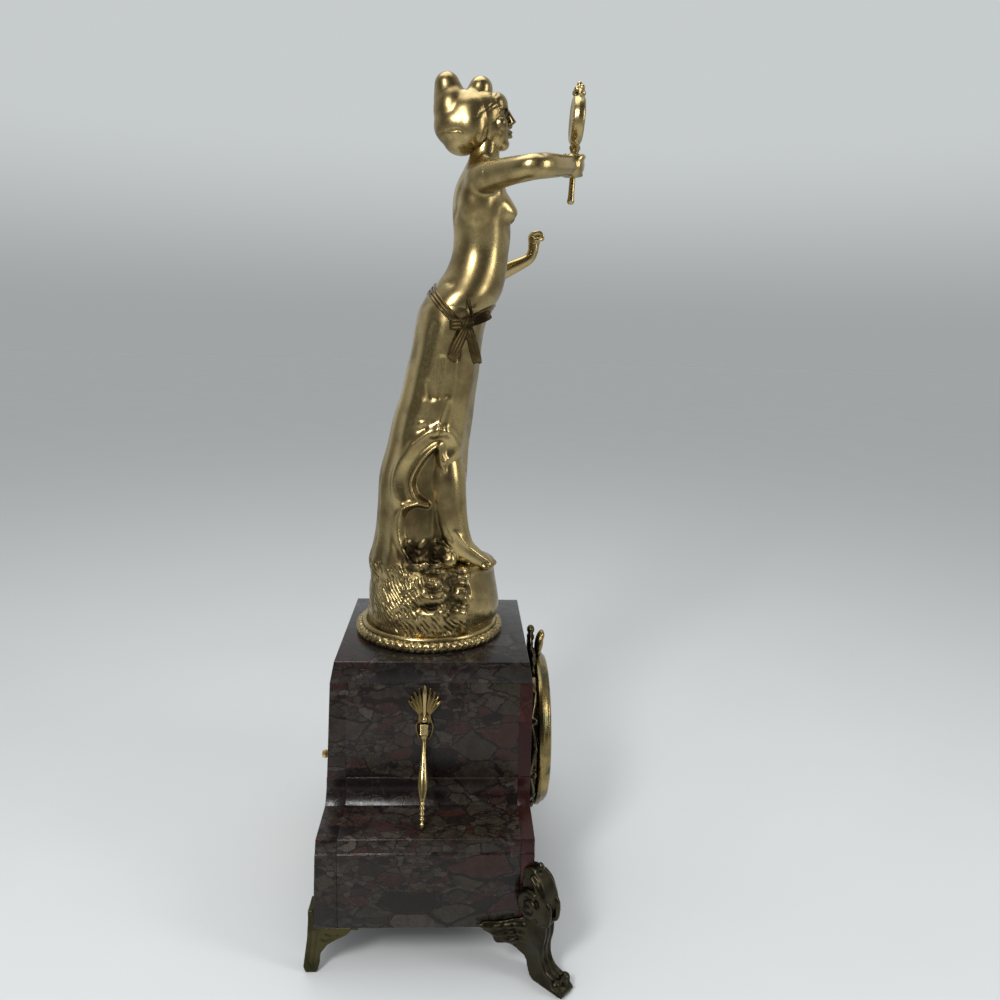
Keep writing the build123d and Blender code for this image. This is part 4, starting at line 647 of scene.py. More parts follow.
# Lines cut into the outer cheek: back from the corner, and height.
REAR_LINES = (
    ((1, 44), (1.6, 24), (3.8, 8)), ((-3, 31), (-1.5, 20), (0.6, 6)), ((-8, 30), (-12, 28), (-17, 29)),
    ((-5, 26), (-8, 24.5), (-14, 27)), ((3.8, 8), (1.6, 4), (-0.6, 5)),
)
olive_bronze = metal(
    "olive_bronze", Metal=(0.078, 0.068, 0.03, 1), Toned=(0.034, 0.031, 0.014, 1),
    Recess=(0.016, 0.014, 0.008, 1), Reach=3 * MM, Tone_amount=0.8, Polish=0.36, Dullness=0.6,
)


def rear_foot():
    foot = cast("left_rear_foot_cast", [copy_of("left_rear_foot", "left_rear_foot_cast")], 0.55, 2)
    flank = -BASE_HALF - 0.2
    cuts = [([(flank, BACK_FOOT + along, z) for along, z in line], *REAR_CUT) for line in REAR_LINES]
    back = BACK_FOOT + 3.4
    for drift in (5.0, 9.5):
        edge = -BASE_HALF + drift
        cuts.append(([(edge, back, 42), (edge - 1, back, 26), (-BASE_HALF + 3, back, 8)], *REAR_CUT))
    tool(foot, cuts)
    return foot


left_rear_foot = rear_foot()
right_rear_foot = mirrored(left_rear_foot, "right_rear_foot_cast")
for foot, node in ((left_rear_foot, "left_rear_foot"), (right_rear_foot, "right_rear_foot")):
    dress(foot, olive_bronze)
    stand_in(foot, node)

# Side mounts
# Gilt castings on the two flanks: a fan of thin petals, a collar and a baluster stem that stands on the
# ledge of the base. The fan lies against the marble; it is in a darker copy of the gilt, painted shade,
# and goes darker still between its petals.
MOUNT_Y = 4.2
HUB_Z = 157.0
HUB_X = -72.6
PETAL_TURN = 9.5
PETAL_REACH, PETAL_SHRINK = 26.0, 1.9
STEM_END = (-111.0, 100.6)
# The turned stem from the collar down: share of its length and radius.
STEM = (
    (0.00, 2.4), (0.03, 2.7), (0.10, 2.6), (0.13, 1.8), (0.18, 1.6), (0.28, 1.8), (0.40, 2.6), (0.52, 3.45),
    (0.62, 3.3), (0.70, 2.5), (0.745, 1.8), (0.765, 2.3), (0.785, 1.7), (0.81, 2.2), (0.835, 1.5),
    (0.86, 2.1), (0.885, 1.4), (0.91, 1.9), (0.935, 1.2), (0.965, 1.6), (1.00, 0.7),
)
# A strand that hangs from the fan: out from the hub, to one side of it, height over it and radius.
STRAND = ((2.2, 1.5, 8, 0.9), (2.6, 5.6, 2, 0.9), (2.8, 4.6, -6, 0.7), (2.9, 2.4, -10, 0.5))
gilt = metal(
    "gilt_bronze", Metal=(0.44, 0.34, 0.155, 1), Toned=(0.19, 0.138, 0.06, 1),
    Recess=(0.02, 0.0125, 0.006, 1), Reach=7 * MM, Tone_amount=0.85, Polish=0.25, Dullness=0.46,
)
# A darker copy of the gilt: painted shade on the fan, and the darker tone of the belt's cords.
dark_gilt = metal(
    "dark_gilt", Metal=(0.2, 0.14, 0.055, 1), Toned=(0.06, 0.04, 0.018, 1),
    Recess=(0.008, 0.005, 0.003, 1), Reach=4 * MM, Tone_amount=0.9, Polish=0.24, Dullness=0.55,
)


def side_mount():
    petals = [lump(HUB_X - 1.6, MOUNT_Y, HUB_Z + 6, 2.6, 5.0, 7.0)]
    bright = []
    for k in range(-4, 5):
        turn = math.radians(PETAL_TURN * k)
        reach = PETAL_REACH - PETAL_SHRINK * abs(k)
        petal = []
        for share, radius in ((0.1, 0.8), (0.4, 0.95), (0.78, 1.25), (1.0, 0.6)):
            height = HUB_Z + 5 + reach * share * math.cos(turn)
            lean = (height - HUB_Z) * 0.052
            rise = 1.9 + 0.9 * math.sin(math.pi * share)
            petal.append((HUB_X + lean - rise, MOUNT_Y + reach * share * math.sin(turn), height, radius))
        if k == 0:
            bright.append(tube([(x - 1.0, y, z, 1.35 * radius) for x, y, z, radius in petal], 24, 14))
        else:
            petals.append(tube(petal, 24, 12))
    for side in (-1, 1):
        strand = [(HUB_X - out, MOUNT_Y + side * y, HUB_Z + up, radius) for out, y, up, radius in STRAND]
        petals.append(tube(strand, 30, 10))
    fan = cast("fan", petals, 0.4, 1)
    # The darker copy of the gilt paints in the shade of the marble that the fan lies against.
    dress(fan, dark_gilt)
    top = (HUB_X - 4.6, HUB_Z + 1.5)
    route = []
    for share, radius in STEM:
        x = top[0] + (STEM_END[0] - top[0]) * share
        z = top[1] + (STEM_END[1] - top[1]) * share
        route.append((x, MOUNT_Y, z, radius))
    bright.append(tube(route, 190, 24))
    bright.append(lump(HUB_X - 4.2, MOUNT_Y, HUB_Z + 6.5, 2.5))
    bpy.ops.mesh.primitive_cube_add(size=1, location=spot(HUB_X - 6.2, MOUNT_Y, HUB_Z - 0.5))
    collar = bpy.context.object
    set_size(collar, (6.4 * MM, 5.6 * MM, 7.6 * MM), (0, 30, 0))
    bright.append(collar)
    stalk = cast("stalk", bright, 0.35, 1)
    dress(stalk, gilt)
    return joined("left_side_mount_cast", [stalk, fan])


left_side_mount = side_mount()
right_side_mount = mirrored(left_side_mount, "right_side_mount_cast")
for mount, node in ((left_side_mount, "left_side_mount"), (right_side_mount, "right_side_mount")):
    stand_in(mount, node)

# Movement
# A round French-style pendulum movement of brass plates and wheels with steel arbors, screws and pins,
# held between the front collar and the rear frame by two straps. It is seen through the rear door.
movement_brass = metal(
    "movement_brass", 0.02, Metal=(0.62, 0.46, 0.2, 1), Toned=(0.48, 0.33, 0.13, 1),
    Recess=(0.12, 0.08, 0.03, 1), Reach=3 * MM, Tone_amount=0.5, Polish=0.26, Dullness=0.45,
)
steel = metal(
    "steel", 0.02, Metal=(0.42, 0.43, 0.45, 1), Toned=(0.28, 0.27, 0.26, 1), Recess=(0.08, 0.07, 0.06, 1),
    Reach=2 * MM, Tone_amount=0.5, Polish=0.24, Dullness=0.5,
)
blued_steel = metal(
    "blued_steel", 0.01, Metal=(0.03, 0.045, 0.13, 1), Toned=(0.022, 0.025, 0.07, 1),
    Recess=(0.01, 0.01, 0.02, 1), Reach=2 * MM, Tone_amount=0.6, Polish=0.2, Dullness=0.35,
)
BRASS_NODES = (
    "case_straps", "centre_wheel", "escape_wheel", "front_plate", "going_barrel", "hour_wheel",
    "intermediate_wheel", "motion_wheel", "pendulum_bob", "pendulum_rod", "rating_nut", "rear_door",
    "rear_frame", "rear_plate", "suspension_cock", "third_wheel",
)
STEEL_NODES = (
    "anchor_crutch", "bezel_hinge_pin", "cannon_pinion", "fixing_stud", "foot_screws", "plate_screws",
    "rear_hinge_pin", "strap_screws", "stud_nut", "suspension_spring", "winding_arbor",
)
HANDS = ("hour_hand", "minute_hand")
for nodes, material in ((BRASS_NODES, movement_brass), (STEEL_NODES, steel), (HANDS, blued_steel)):
    for node in nodes:
        dress(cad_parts[node], material)

# Dial
# A domed plate of copper under white fired enamel, with painted black numerals and minute track. The
# dial can't be seen in the photograph, so the numerals are the plain Roman ones of such clocks.
DIAL_Z = 120.6
dial_low, dial_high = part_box("dial")
DIAL_FRONT = dial_low.y
DIAL_R = (dial_high.x - dial_low.x) / 2
NUMERALS = ("XII", "I", "II", "III", "IIII", "V", "VI", "VII", "VIII", "IX", "X", "XI")
NUMERAL_RING = 33.5 * MM
NUMERAL_SIZE = 9.5 * MM
TICK_RING = 41.2 * MM
COAT = 0.12 * MM
DOME = 1.8 * MM


def make_enamel():
    material, tree, shader = new_material(
        "enamel", Specular_IOR_Level=0.55, Coat_Weight=0.4, Coat_Roughness=0.05
    )
    place = object_place(tree)
    cloud = noise_at(tree, place, 60.0, 4.0)
    crack = add_node(tree, "ShaderNodeTexVoronoi", {"Scale": 24.0}, feature="DISTANCE_TO_EDGE")
    tree.links.new(place, crack.inputs["Vector"])
    colour = blend_colours(tree, cloud, (0.86, 0.83, 0.74, 1), (0.78, 0.74, 0.63, 1))
    fine = maths(tree, "MULTIPLY", ramp(tree, crack.outputs["Distance"], 0.006, 0.001), 0.25)
    colour = blend_colours(tree, fine, colour, (0.3, 0.25, 0.18, 1))
    paint(tree, shader, colour, ramp(tree, cloud, 0.3, 0.7, 0.12, 0.22))
    bump(tree, shader, cloud, 0.05 * MM, 0.3)
    return material


def clouded(name, scale, detail, first, second, rough, **constants):
    """A plain material whose colour and roughness drift between two values in soft clouds."""
    material, tree, shader = new_material(name, **constants)
    cloud = noise_at(tree, object_place(tree), scale, detail)
    paint(tree, shader, blend_colours(tree, cloud, first, second), ramp(tree, cloud, *rough))
    return material


def dial_face_y(radius):
    """How far forward the domed enamel stands at a radius from its centre."""
    ball = (DIAL_R**2 + DOME**2) / (2 * DOME)
    return DIAL_FRONT + ball - math.sqrt(ball**2 - radius**2)


def on_dial(radius, turn):
    """Moves a mark from the origin to its place on the enamel, its foot towards the centre."""
    x, z = radius * math.sin(turn), radius * math.cos(turn) + DIAL_Z * MM
    return Matrix.Translation((x, dial_face_y(radius), z)) @ Matrix.Rotation(turn, 4, "Y")


def numeral(text, turn):
    bpy.ops.object.text_add()
    mark = bpy.context.object
    mark.data.body = text
    mark.data.align_x = "CENTER"
    mark.data.align_y = "CENTER"
    mark.data.size = NUMERAL_SIZE
    mark.data.extrude = COAT
    only(mark)
    bpy.ops.object.convert(target="MESH")
    set_size(mark, (0.72, 1.25, 1.0))
    mark.data.transform(on_dial(NUMERAL_RING, turn) @ Matrix.Rotation(math.radians(90), 4, "X"))
    return mark


def tick(minute):
    on_hour = minute % 5 == 0
    bpy.ops.mesh.primitive_cube_add(size=1, location=(0, 0, 0))
    mark = bpy.context.object
    set_size(mark, ((0.8 if on_hour else 0.35) * MM, 2 * COAT, (2.6 if on_hour else 1.5) * MM))
    mark.data.transform(on_dial(TICK_RING, math.radians(6 * minute)))
    return mark


dress(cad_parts["dial"], make_enamel())
marks = [numeral(text, math.radians(30 * hour)) for hour, text in enumerate(NUMERALS)]
marks += [tick(minute) for minute in range(60)]
dial_marks = joined("dial_marks", marks)
dress(dial_marks, clouded(
    "dial_black", 900.0, 3.0, (0.012, 0.012, 0.014, 1), (0.035, 0.033, 0.032, 1), (0.3, 0.7, 0.25, 0.45),
    Specular_IOR_Level=0.5,
))
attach(dial_marks, "case")

# Bezel
# A turned brass frame screwed to the marble, with a hinged ring that holds a convex glass. The frame has
# gone dark and greenish; the hinged ring is brighter where hands open it. A leaf cresting sits on top.
patinated = metal(
    "patinated_brass", 0.1, Metal=(0.11, 0.085, 0.045, 1), Toned=(0.03, 0.032, 0.022, 1),
    Recess=(0.006, 0.006, 0.004, 1), Reach=5 * MM, Tone_amount=0.95, Polish=0.2, Dullness=0.5,
)
bezel_brass = metal(
    "bezel_brass", Metal=(0.36, 0.26, 0.095, 1), Toned=(0.075, 0.075, 0.042, 1),
    Recess=(0.012, 0.012, 0.008, 1), Reach=4 * MM, Tone_amount=0.95, Polish=0.2, Dullness=0.42,
)
# Lines turned into the ring: radius, half width and height.
BEZEL_GROOVES = ((59.6, 0.45, -0.5), (57.0, 0.5, -0.6), (51.6, 0.5, -0.5))


def bezel_ring(node, material, body):
    """The turned ring from its CAD shape, with lines turned into its flank."""
    ring = copy_of(node, node + "_turned")
    cast(node + "_turned", [ring], 0.55, 1)
    for radius, width, height in BEZEL_GROOVES:
        place, lift = corners(ring)
        out = np.hypot(place[:, 0], place[:, 2] - DIAL_Z * MM) / MM
        rise = height * MM * np.exp(-(((out - radius) / width) ** 2))
        move_corners(ring, place + lift * rise[:, None])
    dress(ring, material)
    stand_in(ring, node, body)


bezel_ring("bezel_frame", patinated, "case")
bezel_ring("bezel_door", bezel_brass, "bezel")
dress(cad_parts["bezel_glass"], clouded(
    "glass", 70.0, 4.0, (0.97, 0.985, 0.98, 1), (0.93, 0.96, 0.95, 1), (0.45, 0.8, 0.01, 0.08),
    Transmission_Weight=1.0, IOR=1.46,
))
CREST_Z = DIAL_Z + 58.0
CURL_RING = 60.6
BEAD_RING = 61.0


def on_crest(*points):
    """Points of the cresting, given across, ahead of the front slab and above the bezel's top edge."""
    return [(x, FRONT_Y - ahead, CREST_Z + up, *radius) for x, ahead, up, *radius in points]


def round_bezel(ring, degrees):
    """A point (x, z) on a ring round the dial, counted in degrees from its top."""
    turn = math.radians(90 - degrees)
    return ring * math.cos(turn), DIAL_Z + ring * math.sin(turn)


def bezel_crest():
    lumps = [
        lump(0, FRONT_Y - 3.2, CREST_Z + 10, 10.5, 2.4, 13),
        lump(0, FRONT_Y - 3.6, CREST_Z + 23.5, 4.2, 3.0, 3.6),
        lump(0, FRONT_Y - 3.6, CREST_Z + 17.5, 5.6, 3.0, 3.0),
        tube(on_crest((0, 3, 2, 3.4), (0, 8, 1.5, 3.0), (0, 10.5, 5, 2.6)), 24, 16),
    ]
    for side in (-1, 1):
        for reach, start in ((13, 4), (18, 0), (22, -6)):
            lumps.append(tube(on_crest(
                (side * 2.0, 3.0, start + 2, 2.4), (side * reach * 0.55, 4.6, start + 5, 2.2),
                (side * reach * 0.95, 5.0, start + 1.5, 1.7), (side * reach, 3.6, start - 3.5, 1.2),
            ), 30, 14))
        curl = []
        for k in range(30):
            x, z = round_bezel(CURL_RING, side * (34 + 4.6 * k))
            curl.append((x, FRONT_Y - 2.6 - 1.4 * math.sin(k * 0.8), z, 2.4 - 0.03 * k))
        lumps.append(tube(curl, 110, 14))
        for k in range(7):
            x, z = round_bezel(BEAD_RING, side * (42 + 19 * k))
            lumps.append(lump(x, FRONT_Y - 4.2, z, 2.3, 2.3, 2.9))
    dark = cast("crest_back", lumps, 0.55, 1)
    dress(dark, patinated)
    leaf = cast("crest_leaf", [
        lump(0, FRONT_Y - 10.4, CREST_Z + 12, 7.6, 3.3, 10.6, (8, 0, 0)),
        lump(0, FRONT_Y - 12.2, CREST_Z + 19, 4.4, 2.6, 4.2),
    ], 0.5, 3)
    tool(leaf, [
        (on_crest((0, 13, 2), (0, 14, 12), (0, 14, 21)), 0.8, -0.8),
        (on_crest((-4, 12, 4), (-4.5, 13, 14)), 0.8, -0.7),
        (on_crest((4, 12, 4), (4.5, 13, 14)), 0.8, -0.7),
    ])
    dress(leaf, bezel_brass)
    return joined("bezel_crest_cast", [dark, leaf])


crest = bezel_crest()
stand_in(crest, "bezel_crest")

# Rope ring
# The cast foot of the figure: a round plate with a thick twisted border and a plain raised fillet inside
# it. It lies on the top slab, and the stud that holds the figure passes through it.
TOP_Z = 203.2
RING_Y = 4.0
ROPE_R = 3.9
ROPE_RING = 52.8
ROPE_LEAVES = 62
ROPE_SKEW = 0.25
# Profile of the plate inside the rope: radius and height.
PLATE = (
    (0.5, 0.0), (50.5, 0.0), (51.6, 2.0), (52.0, 6.8), (51.8, 8.6), (51.2, 9.8), (50.2, 10.4), (49.1, 10.3),
    (48.2, 9.6), (47.6, 8.6), (46.8, 8.0), (0.5, 8.0),
)


def set_painted_shade(piece, values):
    """How much painted shade darkens each corner of the mesh, for the metal."""
    layer = piece.data.attributes.new("painted_shade", "FLOAT", "POINT")
    layer.data.foreach_set("value", np.ascontiguousarray(values, dtype=np.float32))


def rope_ring():
    around, sides = 1240, 32
    rings, shade_values = [], []
    for i in range(around + 1):
        angle = 2 * math.pi * i / around
        ring = []
        for j in range(sides):
            lay = 2 * math.pi * j / sides
            slant = 1.7 * abs(math.sin(lay - ROPE_SKEW))
            here = Vector((math.cos(angle), math.sin(angle), 0.2 * math.sin(lay)))
            jitter = 0.9 * noise.noise(here * 21)
            ridge = abs(math.sin(0.5 * ROPE_LEAVES * angle + slant + jitter)) ** 0.7
            row = abs(math.sin(lay - ROPE_SKEW)) ** 0.5
            swell = ROPE_R * (0.74 + 0.2 * ridge + 0.1 * row) + 0.3 * noise.noise(here * 40)
            out = ROPE_RING + swell * math.cos(lay)
            x, y = out * math.cos(angle), RING_Y + out * math.sin(angle)
            ring.append(spot(x, y, TOP_Z + ROPE_R + 0.2 + swell * math.sin(lay)))
            # Painted shade in the grooves between the rope's ridges.
            shade_values.append(0.9 * max(0.0, 1 - 1.9 * ridge))
        rings.append(ring)
    rope = skin("rope", rings)
    set_painted_shade(rope, shade_values + [0, 0])
    turn = np.linspace(0, 2 * math.pi, 240, endpoint=False)
    plate = skin("plate", [
        [spot(radius * math.cos(a), RING_Y + radius * math.sin(a), TOP_Z + height) for a in turn]
        for radius, height in PLATE
    ])
    set_painted_shade(plate, np.zeros(len(plate.data.vertices)))
    return joined("rope_ring_cast", [plate, rope])


ring = rope_ring()
dress(ring, gilt)
stand_in(ring, "rope_ring")

# Rock base
# The rock that the figure stands on, cast with it: craggy and chased with short slanting cuts at the
# back and sides, and drawn out into a smooth wave at the front.
ROCK_R = 48.0
ROCK_EDGE = -24.5
CUT_STEP = 3.3
FINE_CUT_STEP = 2.6
# Sections of the rock: height, middle, half depth and half width.
ROCK = (
    (7.0, 2.8, 47.4, 47.6), (16.0, 1.6, 49.4, 48.8), (27.0, 0.5, 50.0, 49.5), (36.0, 1.0, 49.4, 49.0),
    (44.0, 1.6, 47.6, 47.0), (50.0, 1.2, 46.0, 43.0), (55.0, -1.5, 43.5, 37.0), (59.0, -2.0, 36.0, 29.0),
    (61.0, -2.0, 20.0, 16.0),
)


def clamped(value):
    return max(0.0, min(1.0, value))


def cut_depth(angle, y, height):
    """How deep the chaser's short slanting cuts go at a place on the rock, from 0 to 1."""
    here = Vector((ROCK_R * math.cos(angle), ROCK_R * math.sin(angle), height))
    around = angle * ROCK_R
    across = 0.77 * around + 0.64 * height + 1.6 * noise.noise(here / 9.0)
    along = 0.64 * around - 0.77 * height
    step = CUT_STEP if y < 22 else FINE_CUT_STEP
    stroke = noise.noise(Vector((along / 5.5, math.floor(across / step) * 3.7, 1.0)))
    return max(0.0, math.sin(2 * math.pi * across / step)) ** 2.0 * clamped(2.6 * stroke + 0.75)


def rock_base():
    heights = np.concatenate([np.linspace(7.0, 56.0, 104), np.linspace(56.5, 61.0, 9)])
    turn = np.linspace(0, 2 * math.pi, 600, endpoint=False)
    rings, shade_values = [], []
    for height, (middle, deep, wide) in zip(heights, through(ROCK, heights)):
        ring = []
        for angle in turn:
            x, y = wide * math.cos(angle), middle + deep * math.sin(angle)
            here = Vector((x, y, height))
            front = clamped((ROCK_EDGE - y + 1.5 * noise.noise(here / 8)) / 2.4)
            rough = 1 - front
            broken = clamped((26 - y) / 22) * clamped((height - 22) / 10)
            crag = noise.turbulence(here / 15.0, 2, True)
            swell = (1.2 + 5.0 * broken) * (crag - 0.55) + 1.2 * noise.noise(here / 20.0)
            groove = cut_depth(angle, y, height) * (1 - 0.6 * broken)
            fade = clamped((height - 9.5) / 4.0)
            lip = 2.2 * math.exp(-((y - ROCK_EDGE - 1.5) / 2.0) ** 2) if x < 0 else 0.0
            wave = 0.9 * front * math.sin(0.14 * height + 4.0 * angle)
            out = 1 + fade * (rough * (swell - 1.4 * groove) + wave + lip) / ROCK_R
            z = TOP_Z + height + 0.4 * rough * swell * fade
            ring.append(spot(x * out, middle + (y - middle) * out, z))
            # Painted shade, deepest in the chased cuts and in the hollows of the crags.
            hollow = clamped(-0.55 * swell) * (0.4 + broken)
            shade_values.append(fade * rough * min(0.95, 0.9 * groove + 0.75 * hollow))
        rings.append(ring)
    whole = skin("rock_base_cast", rings)
    set_painted_shade(whole, shade_values + [0, 0])
    return whole


rock = rock_base()
dress(rock, gilt)
stand_in(rock, "rock_base")

# Skirt and leg
# The lower half of the figure: thin cloth drawn tight over the hips and legs, falling in long soft folds.
# On one side its hem turns back in two rolled lobes and leaves the calf and the foot bare.
RECESS = 5.2
FLANK_X = -31.0
CLOTH_FOOT, CLOTH_TOP, CLOTH_STEP = 46.0, 248.1, 0.9
# The part of the hem's points that runs round its upper lobe.
UPPER_LOBE = slice(42, 93)
# Sections of the cloth: height above the top slab, middle, half depth and half width.
SKIRT = (
    (46.0, 14.0, 35.0, 38.0), (54.8, 15.4, 34.4, 37.6), (66.0, 13.6, 33.2, 36.2), (78.0, 12.0, 32.5, 35.0),
    (97.0, 11.2, 31.6, 33.0), (122.0, 9.3, 32.0, 31.0), (144.0, 5.9, 29.8, 30.0), (165.0, 2.3, 28.8, 30.0),
    (182.0, -1.2, 27.0, 30.0), (199.0, -4.2, 26.2, 30.5), (214.0, -6.6, 25.1, 31.0),
    (228.0, -8.6, 25.0, 31.5), (236.0, -10.4, 25.2, 31.3), (243.5, -12.7, 25.4, 30.6),
    (248.0, -14.6, 24.6, 29.0),
)
# Rolled hem on the near side, as (y, height): round the upper lobe, its point, and down the lower lobe.
HEM = (
    (-26.0, 119.0), (-16.5, 125.2), (-8.5, 127.0), (-5.6, 132.0), (-4.0, 140.0), (-2.6, 147.6), (5.8, 141.1),
    (12.1, 132.9), (16.4, 124.0), (16.8, 116.9), (13.8, 110.2), (4.6, 104.0), (12.8, 105.2), (20.6, 102.0),
    (25.0, 96.0), (26.3, 88.0), (25.6, 79.5), (22.0, 72.0), (17.0, 63.0),
)
# Leg and foot under the cloth: a place with its height above the top slab, and the radius there.
LEG = (
    (-11, -6, 138, 13.5), (-13.5, -7.6, 122, 14.6), (-15, -9.4, 106, 13.8), (-16.5, -12.4, 91, 12.0),
    (-17.5, -15.6, 79, 10.8), (-18, -20.5, 69, 9.8), (-18, -30, 62, 7.6), (-18, -38, 58, 5.4),
    (-18, -42, 55.6, 3.6),
)
# Toes: place across the foot, reach and radius.
TOES = ((-5.0, -38.0, 2.2), (-2.6, -40.0, 2.3), (0.2, -41.4, 2.4), (3.8, -42.0, 3.0))
# Crags under the hem: place and three radii.
CRAGS = (
    (-20, -4, 68, 11, 9, 8), (-21, 4, 72, 9, 8, 8), (-23, 10, 64, 9, 9, 8), (-21, 18, 62, 9, 8, 8),
    (-24, -10, 62, 8, 8, 7),
)
# Creases on the near side: route as (y, height), half width and rise.
CREASES = (
    (((11, 166), (14.5, 162), (11.5, 158.5), (8, 160.5)), 2.0, -2.7),
    (((10.5, 163),), 2.4, 2.3),
    (((19.5, 150), (15.5, 166), (11, 178)), 3.6, 2.2),
    (((26.6, 154.6), (14.9, 181.7), (3.2, 231)), 3.4, -1.7),
    (((-0.4, 154.6), (-5.8, 168), (-9, 180)), 2.6, 2.3),
    (((-4.4, 158), (-8.6, 171), (-11.2, 178)), 1.9, -2.2),
    (((6, 192), (2.4, 182)), 2.6, -1.8),
    (((-4.4, 209), (-2.2, 181.7)), 1.8, -1.5),
    (((-14, 206), (-13, 184), (-14.5, 160)), 3.2, 1.5),
    (((-17.5, 202), (-18, 180), (-19, 152)), 1.9, -1.7),
    (((-22, 200), (-22.5, 176), (-23, 140)), 2.0, 1.2),
    (((-5, 146), (-7, 134)), 2.0, -2.4),
    (((-12.5, 128.5), (-16.5, 127.5)), 1.8, 1.4),
)
LEG_CREASES = (
    (((-27, -15, 84), (-27, -22, 76), (-24, -32, 67), (-22, -42, 60)), 1.5, 0.9),
    (((-29, -4, 92), (-28, -12, 78)), 1.8, -1.2),
)
# Folds of the cloth: angle round the body in degrees at the top and at the foot, height, half width.
FOLDS = (
    (20, 10, 1.1, 0.15), (52, 46, 0.9, 0.15), (82, 84, 1.3, 0.15), (112, 120, 1.2, 0.15),
    (138, 146, 0.8, 0.15), (206, 198, 0.7, 0.15), (236, 226, 1.0, 0.15), (268, 262, 0.8, 0.15),
    (300, 300, 1.2, 0.15), (332, 338, 1.0, 0.15), (8, -4, 1.3, 0.09), (33, 27, 1.2, 0.1),
    (43, 36, -1.1, 0.07), (66, 64, 0.9, 0.09), (74, 74, -0.8, 0.06), (98, 103, 0.7, 0.08),
    (284, 276, 1.1, 0.09), (291, 286, -1.1, 0.07), (316, 319, 1.4, 0.1), (323, 327, -1.2, 0.07),
    (346, 351, 1.3, 0.09), (352, 344, -1.0, 0.06),
)


def inside(outline, y, h):
    """Which points lie within a closed outline."""
    hit = np.zeros(len(y), bool)
    for (y0, h0), (y1, h1) in zip(outline, outline[1:] + outline[:1]):
        crosses = (h0 > h) != (h1 > h)
        with np.errstate(divide="ignore", invalid="ignore"):
            hit ^= crosses & (y < (y1 - y0) * (h - h0) / (h1 - h0) + y0)
    return hit


def skirt_cloth():
    heights = np.arange(CLOTH_FOOT, CLOTH_TOP, CLOTH_STEP)
    turn = np.linspace(0, 2 * math.pi, 300, endpoint=False)
    hem_table = [(i, *point) for i, point in enumerate(HEM)]
    hem = through(hem_table, np.linspace(0, len(HEM) - 1, 160))
    outline = [tuple(point) for point in hem] + [(-60.0, 58.0), (-60.0, 123.0)]
    middle, deep, wide = through(SKIRT, heights).T
    grid_h = np.repeat(heights, len(turn))
    grid_a = np.tile(turn, len(heights))
    x = np.repeat(wide, len(turn)) * np.cos(grid_a)
    y = np.repeat(middle, len(turn)) + np.repeat(deep, len(turn)) * np.sin(grid_a)
    low = np.clip((236 - grid_h) / 150, 0, 1)
    rise = np.zeros(len(x))
    for top, foot, height, width in FOLDS:
        angle = np.radians(top + (foot - top) * (1 - np.clip((grid_h - CLOTH_FOOT) / 190, 0, 1)))
        off = np.angle(np.exp(1j * (grid_a - angle)))
        rise += height * (0.3 + 1.9 * low) * np.exp(-((off / width) ** 2))
    rise -= 1.2 * low
    near = np.clip((-np.cos(grid_a) - 0.05) / 0.3, 0, 1)
    flat = np.column_stack([y, grid_h])
    gap = away_from(flat, hem)
    lobe_gap = away_from(flat, hem[UPPER_LOBE])
    sunk = inside(outline, y, grid_h)
    roll = 2.0 * np.exp(-((gap / 1.6) ** 2)) - 0.8 * np.exp(-(((gap - 4.5) / 2.4) ** 2)) * ~sunk
    roll += 2.6 * np.exp(-(((lobe_gap - 11.0) / 3.4) ** 2)) * ~sunk
    floor = -RECESS * np.clip((gap - 0.5) / 2.4, 0, 1) * sunk
    upper = np.clip((grid_h - 56) / 8, 0, 1)
    rise = rise + near * upper * (roll + floor)
    across, ahead = np.repeat(wide, len(turn)), np.repeat(deep, len(turn))
    centre = np.repeat(middle, len(turn))
    out_x, out_y = x / across**2, (y - centre) / ahead**2
    length = np.hypot(out_x, out_y)
    points = np.column_stack([x + out_x / length * rise, y + out_y / length * rise, TOP_Z + grid_h])
    points = points * MM + np.array([0, AXIS_Y, 0])
    return skin("cloth", points.reshape(len(heights), len(turn), 3)), outline, hem


def above_slab(route):
    """Stations of the figure, whose heights count from the top slab, with the frame's heights."""
    return [(x, y, TOP_Z + h, *radius) for x, y, h, *radius in route]


def on_flank(route):
    return above_slab([(FLANK_X, y, h) for y, h in route])


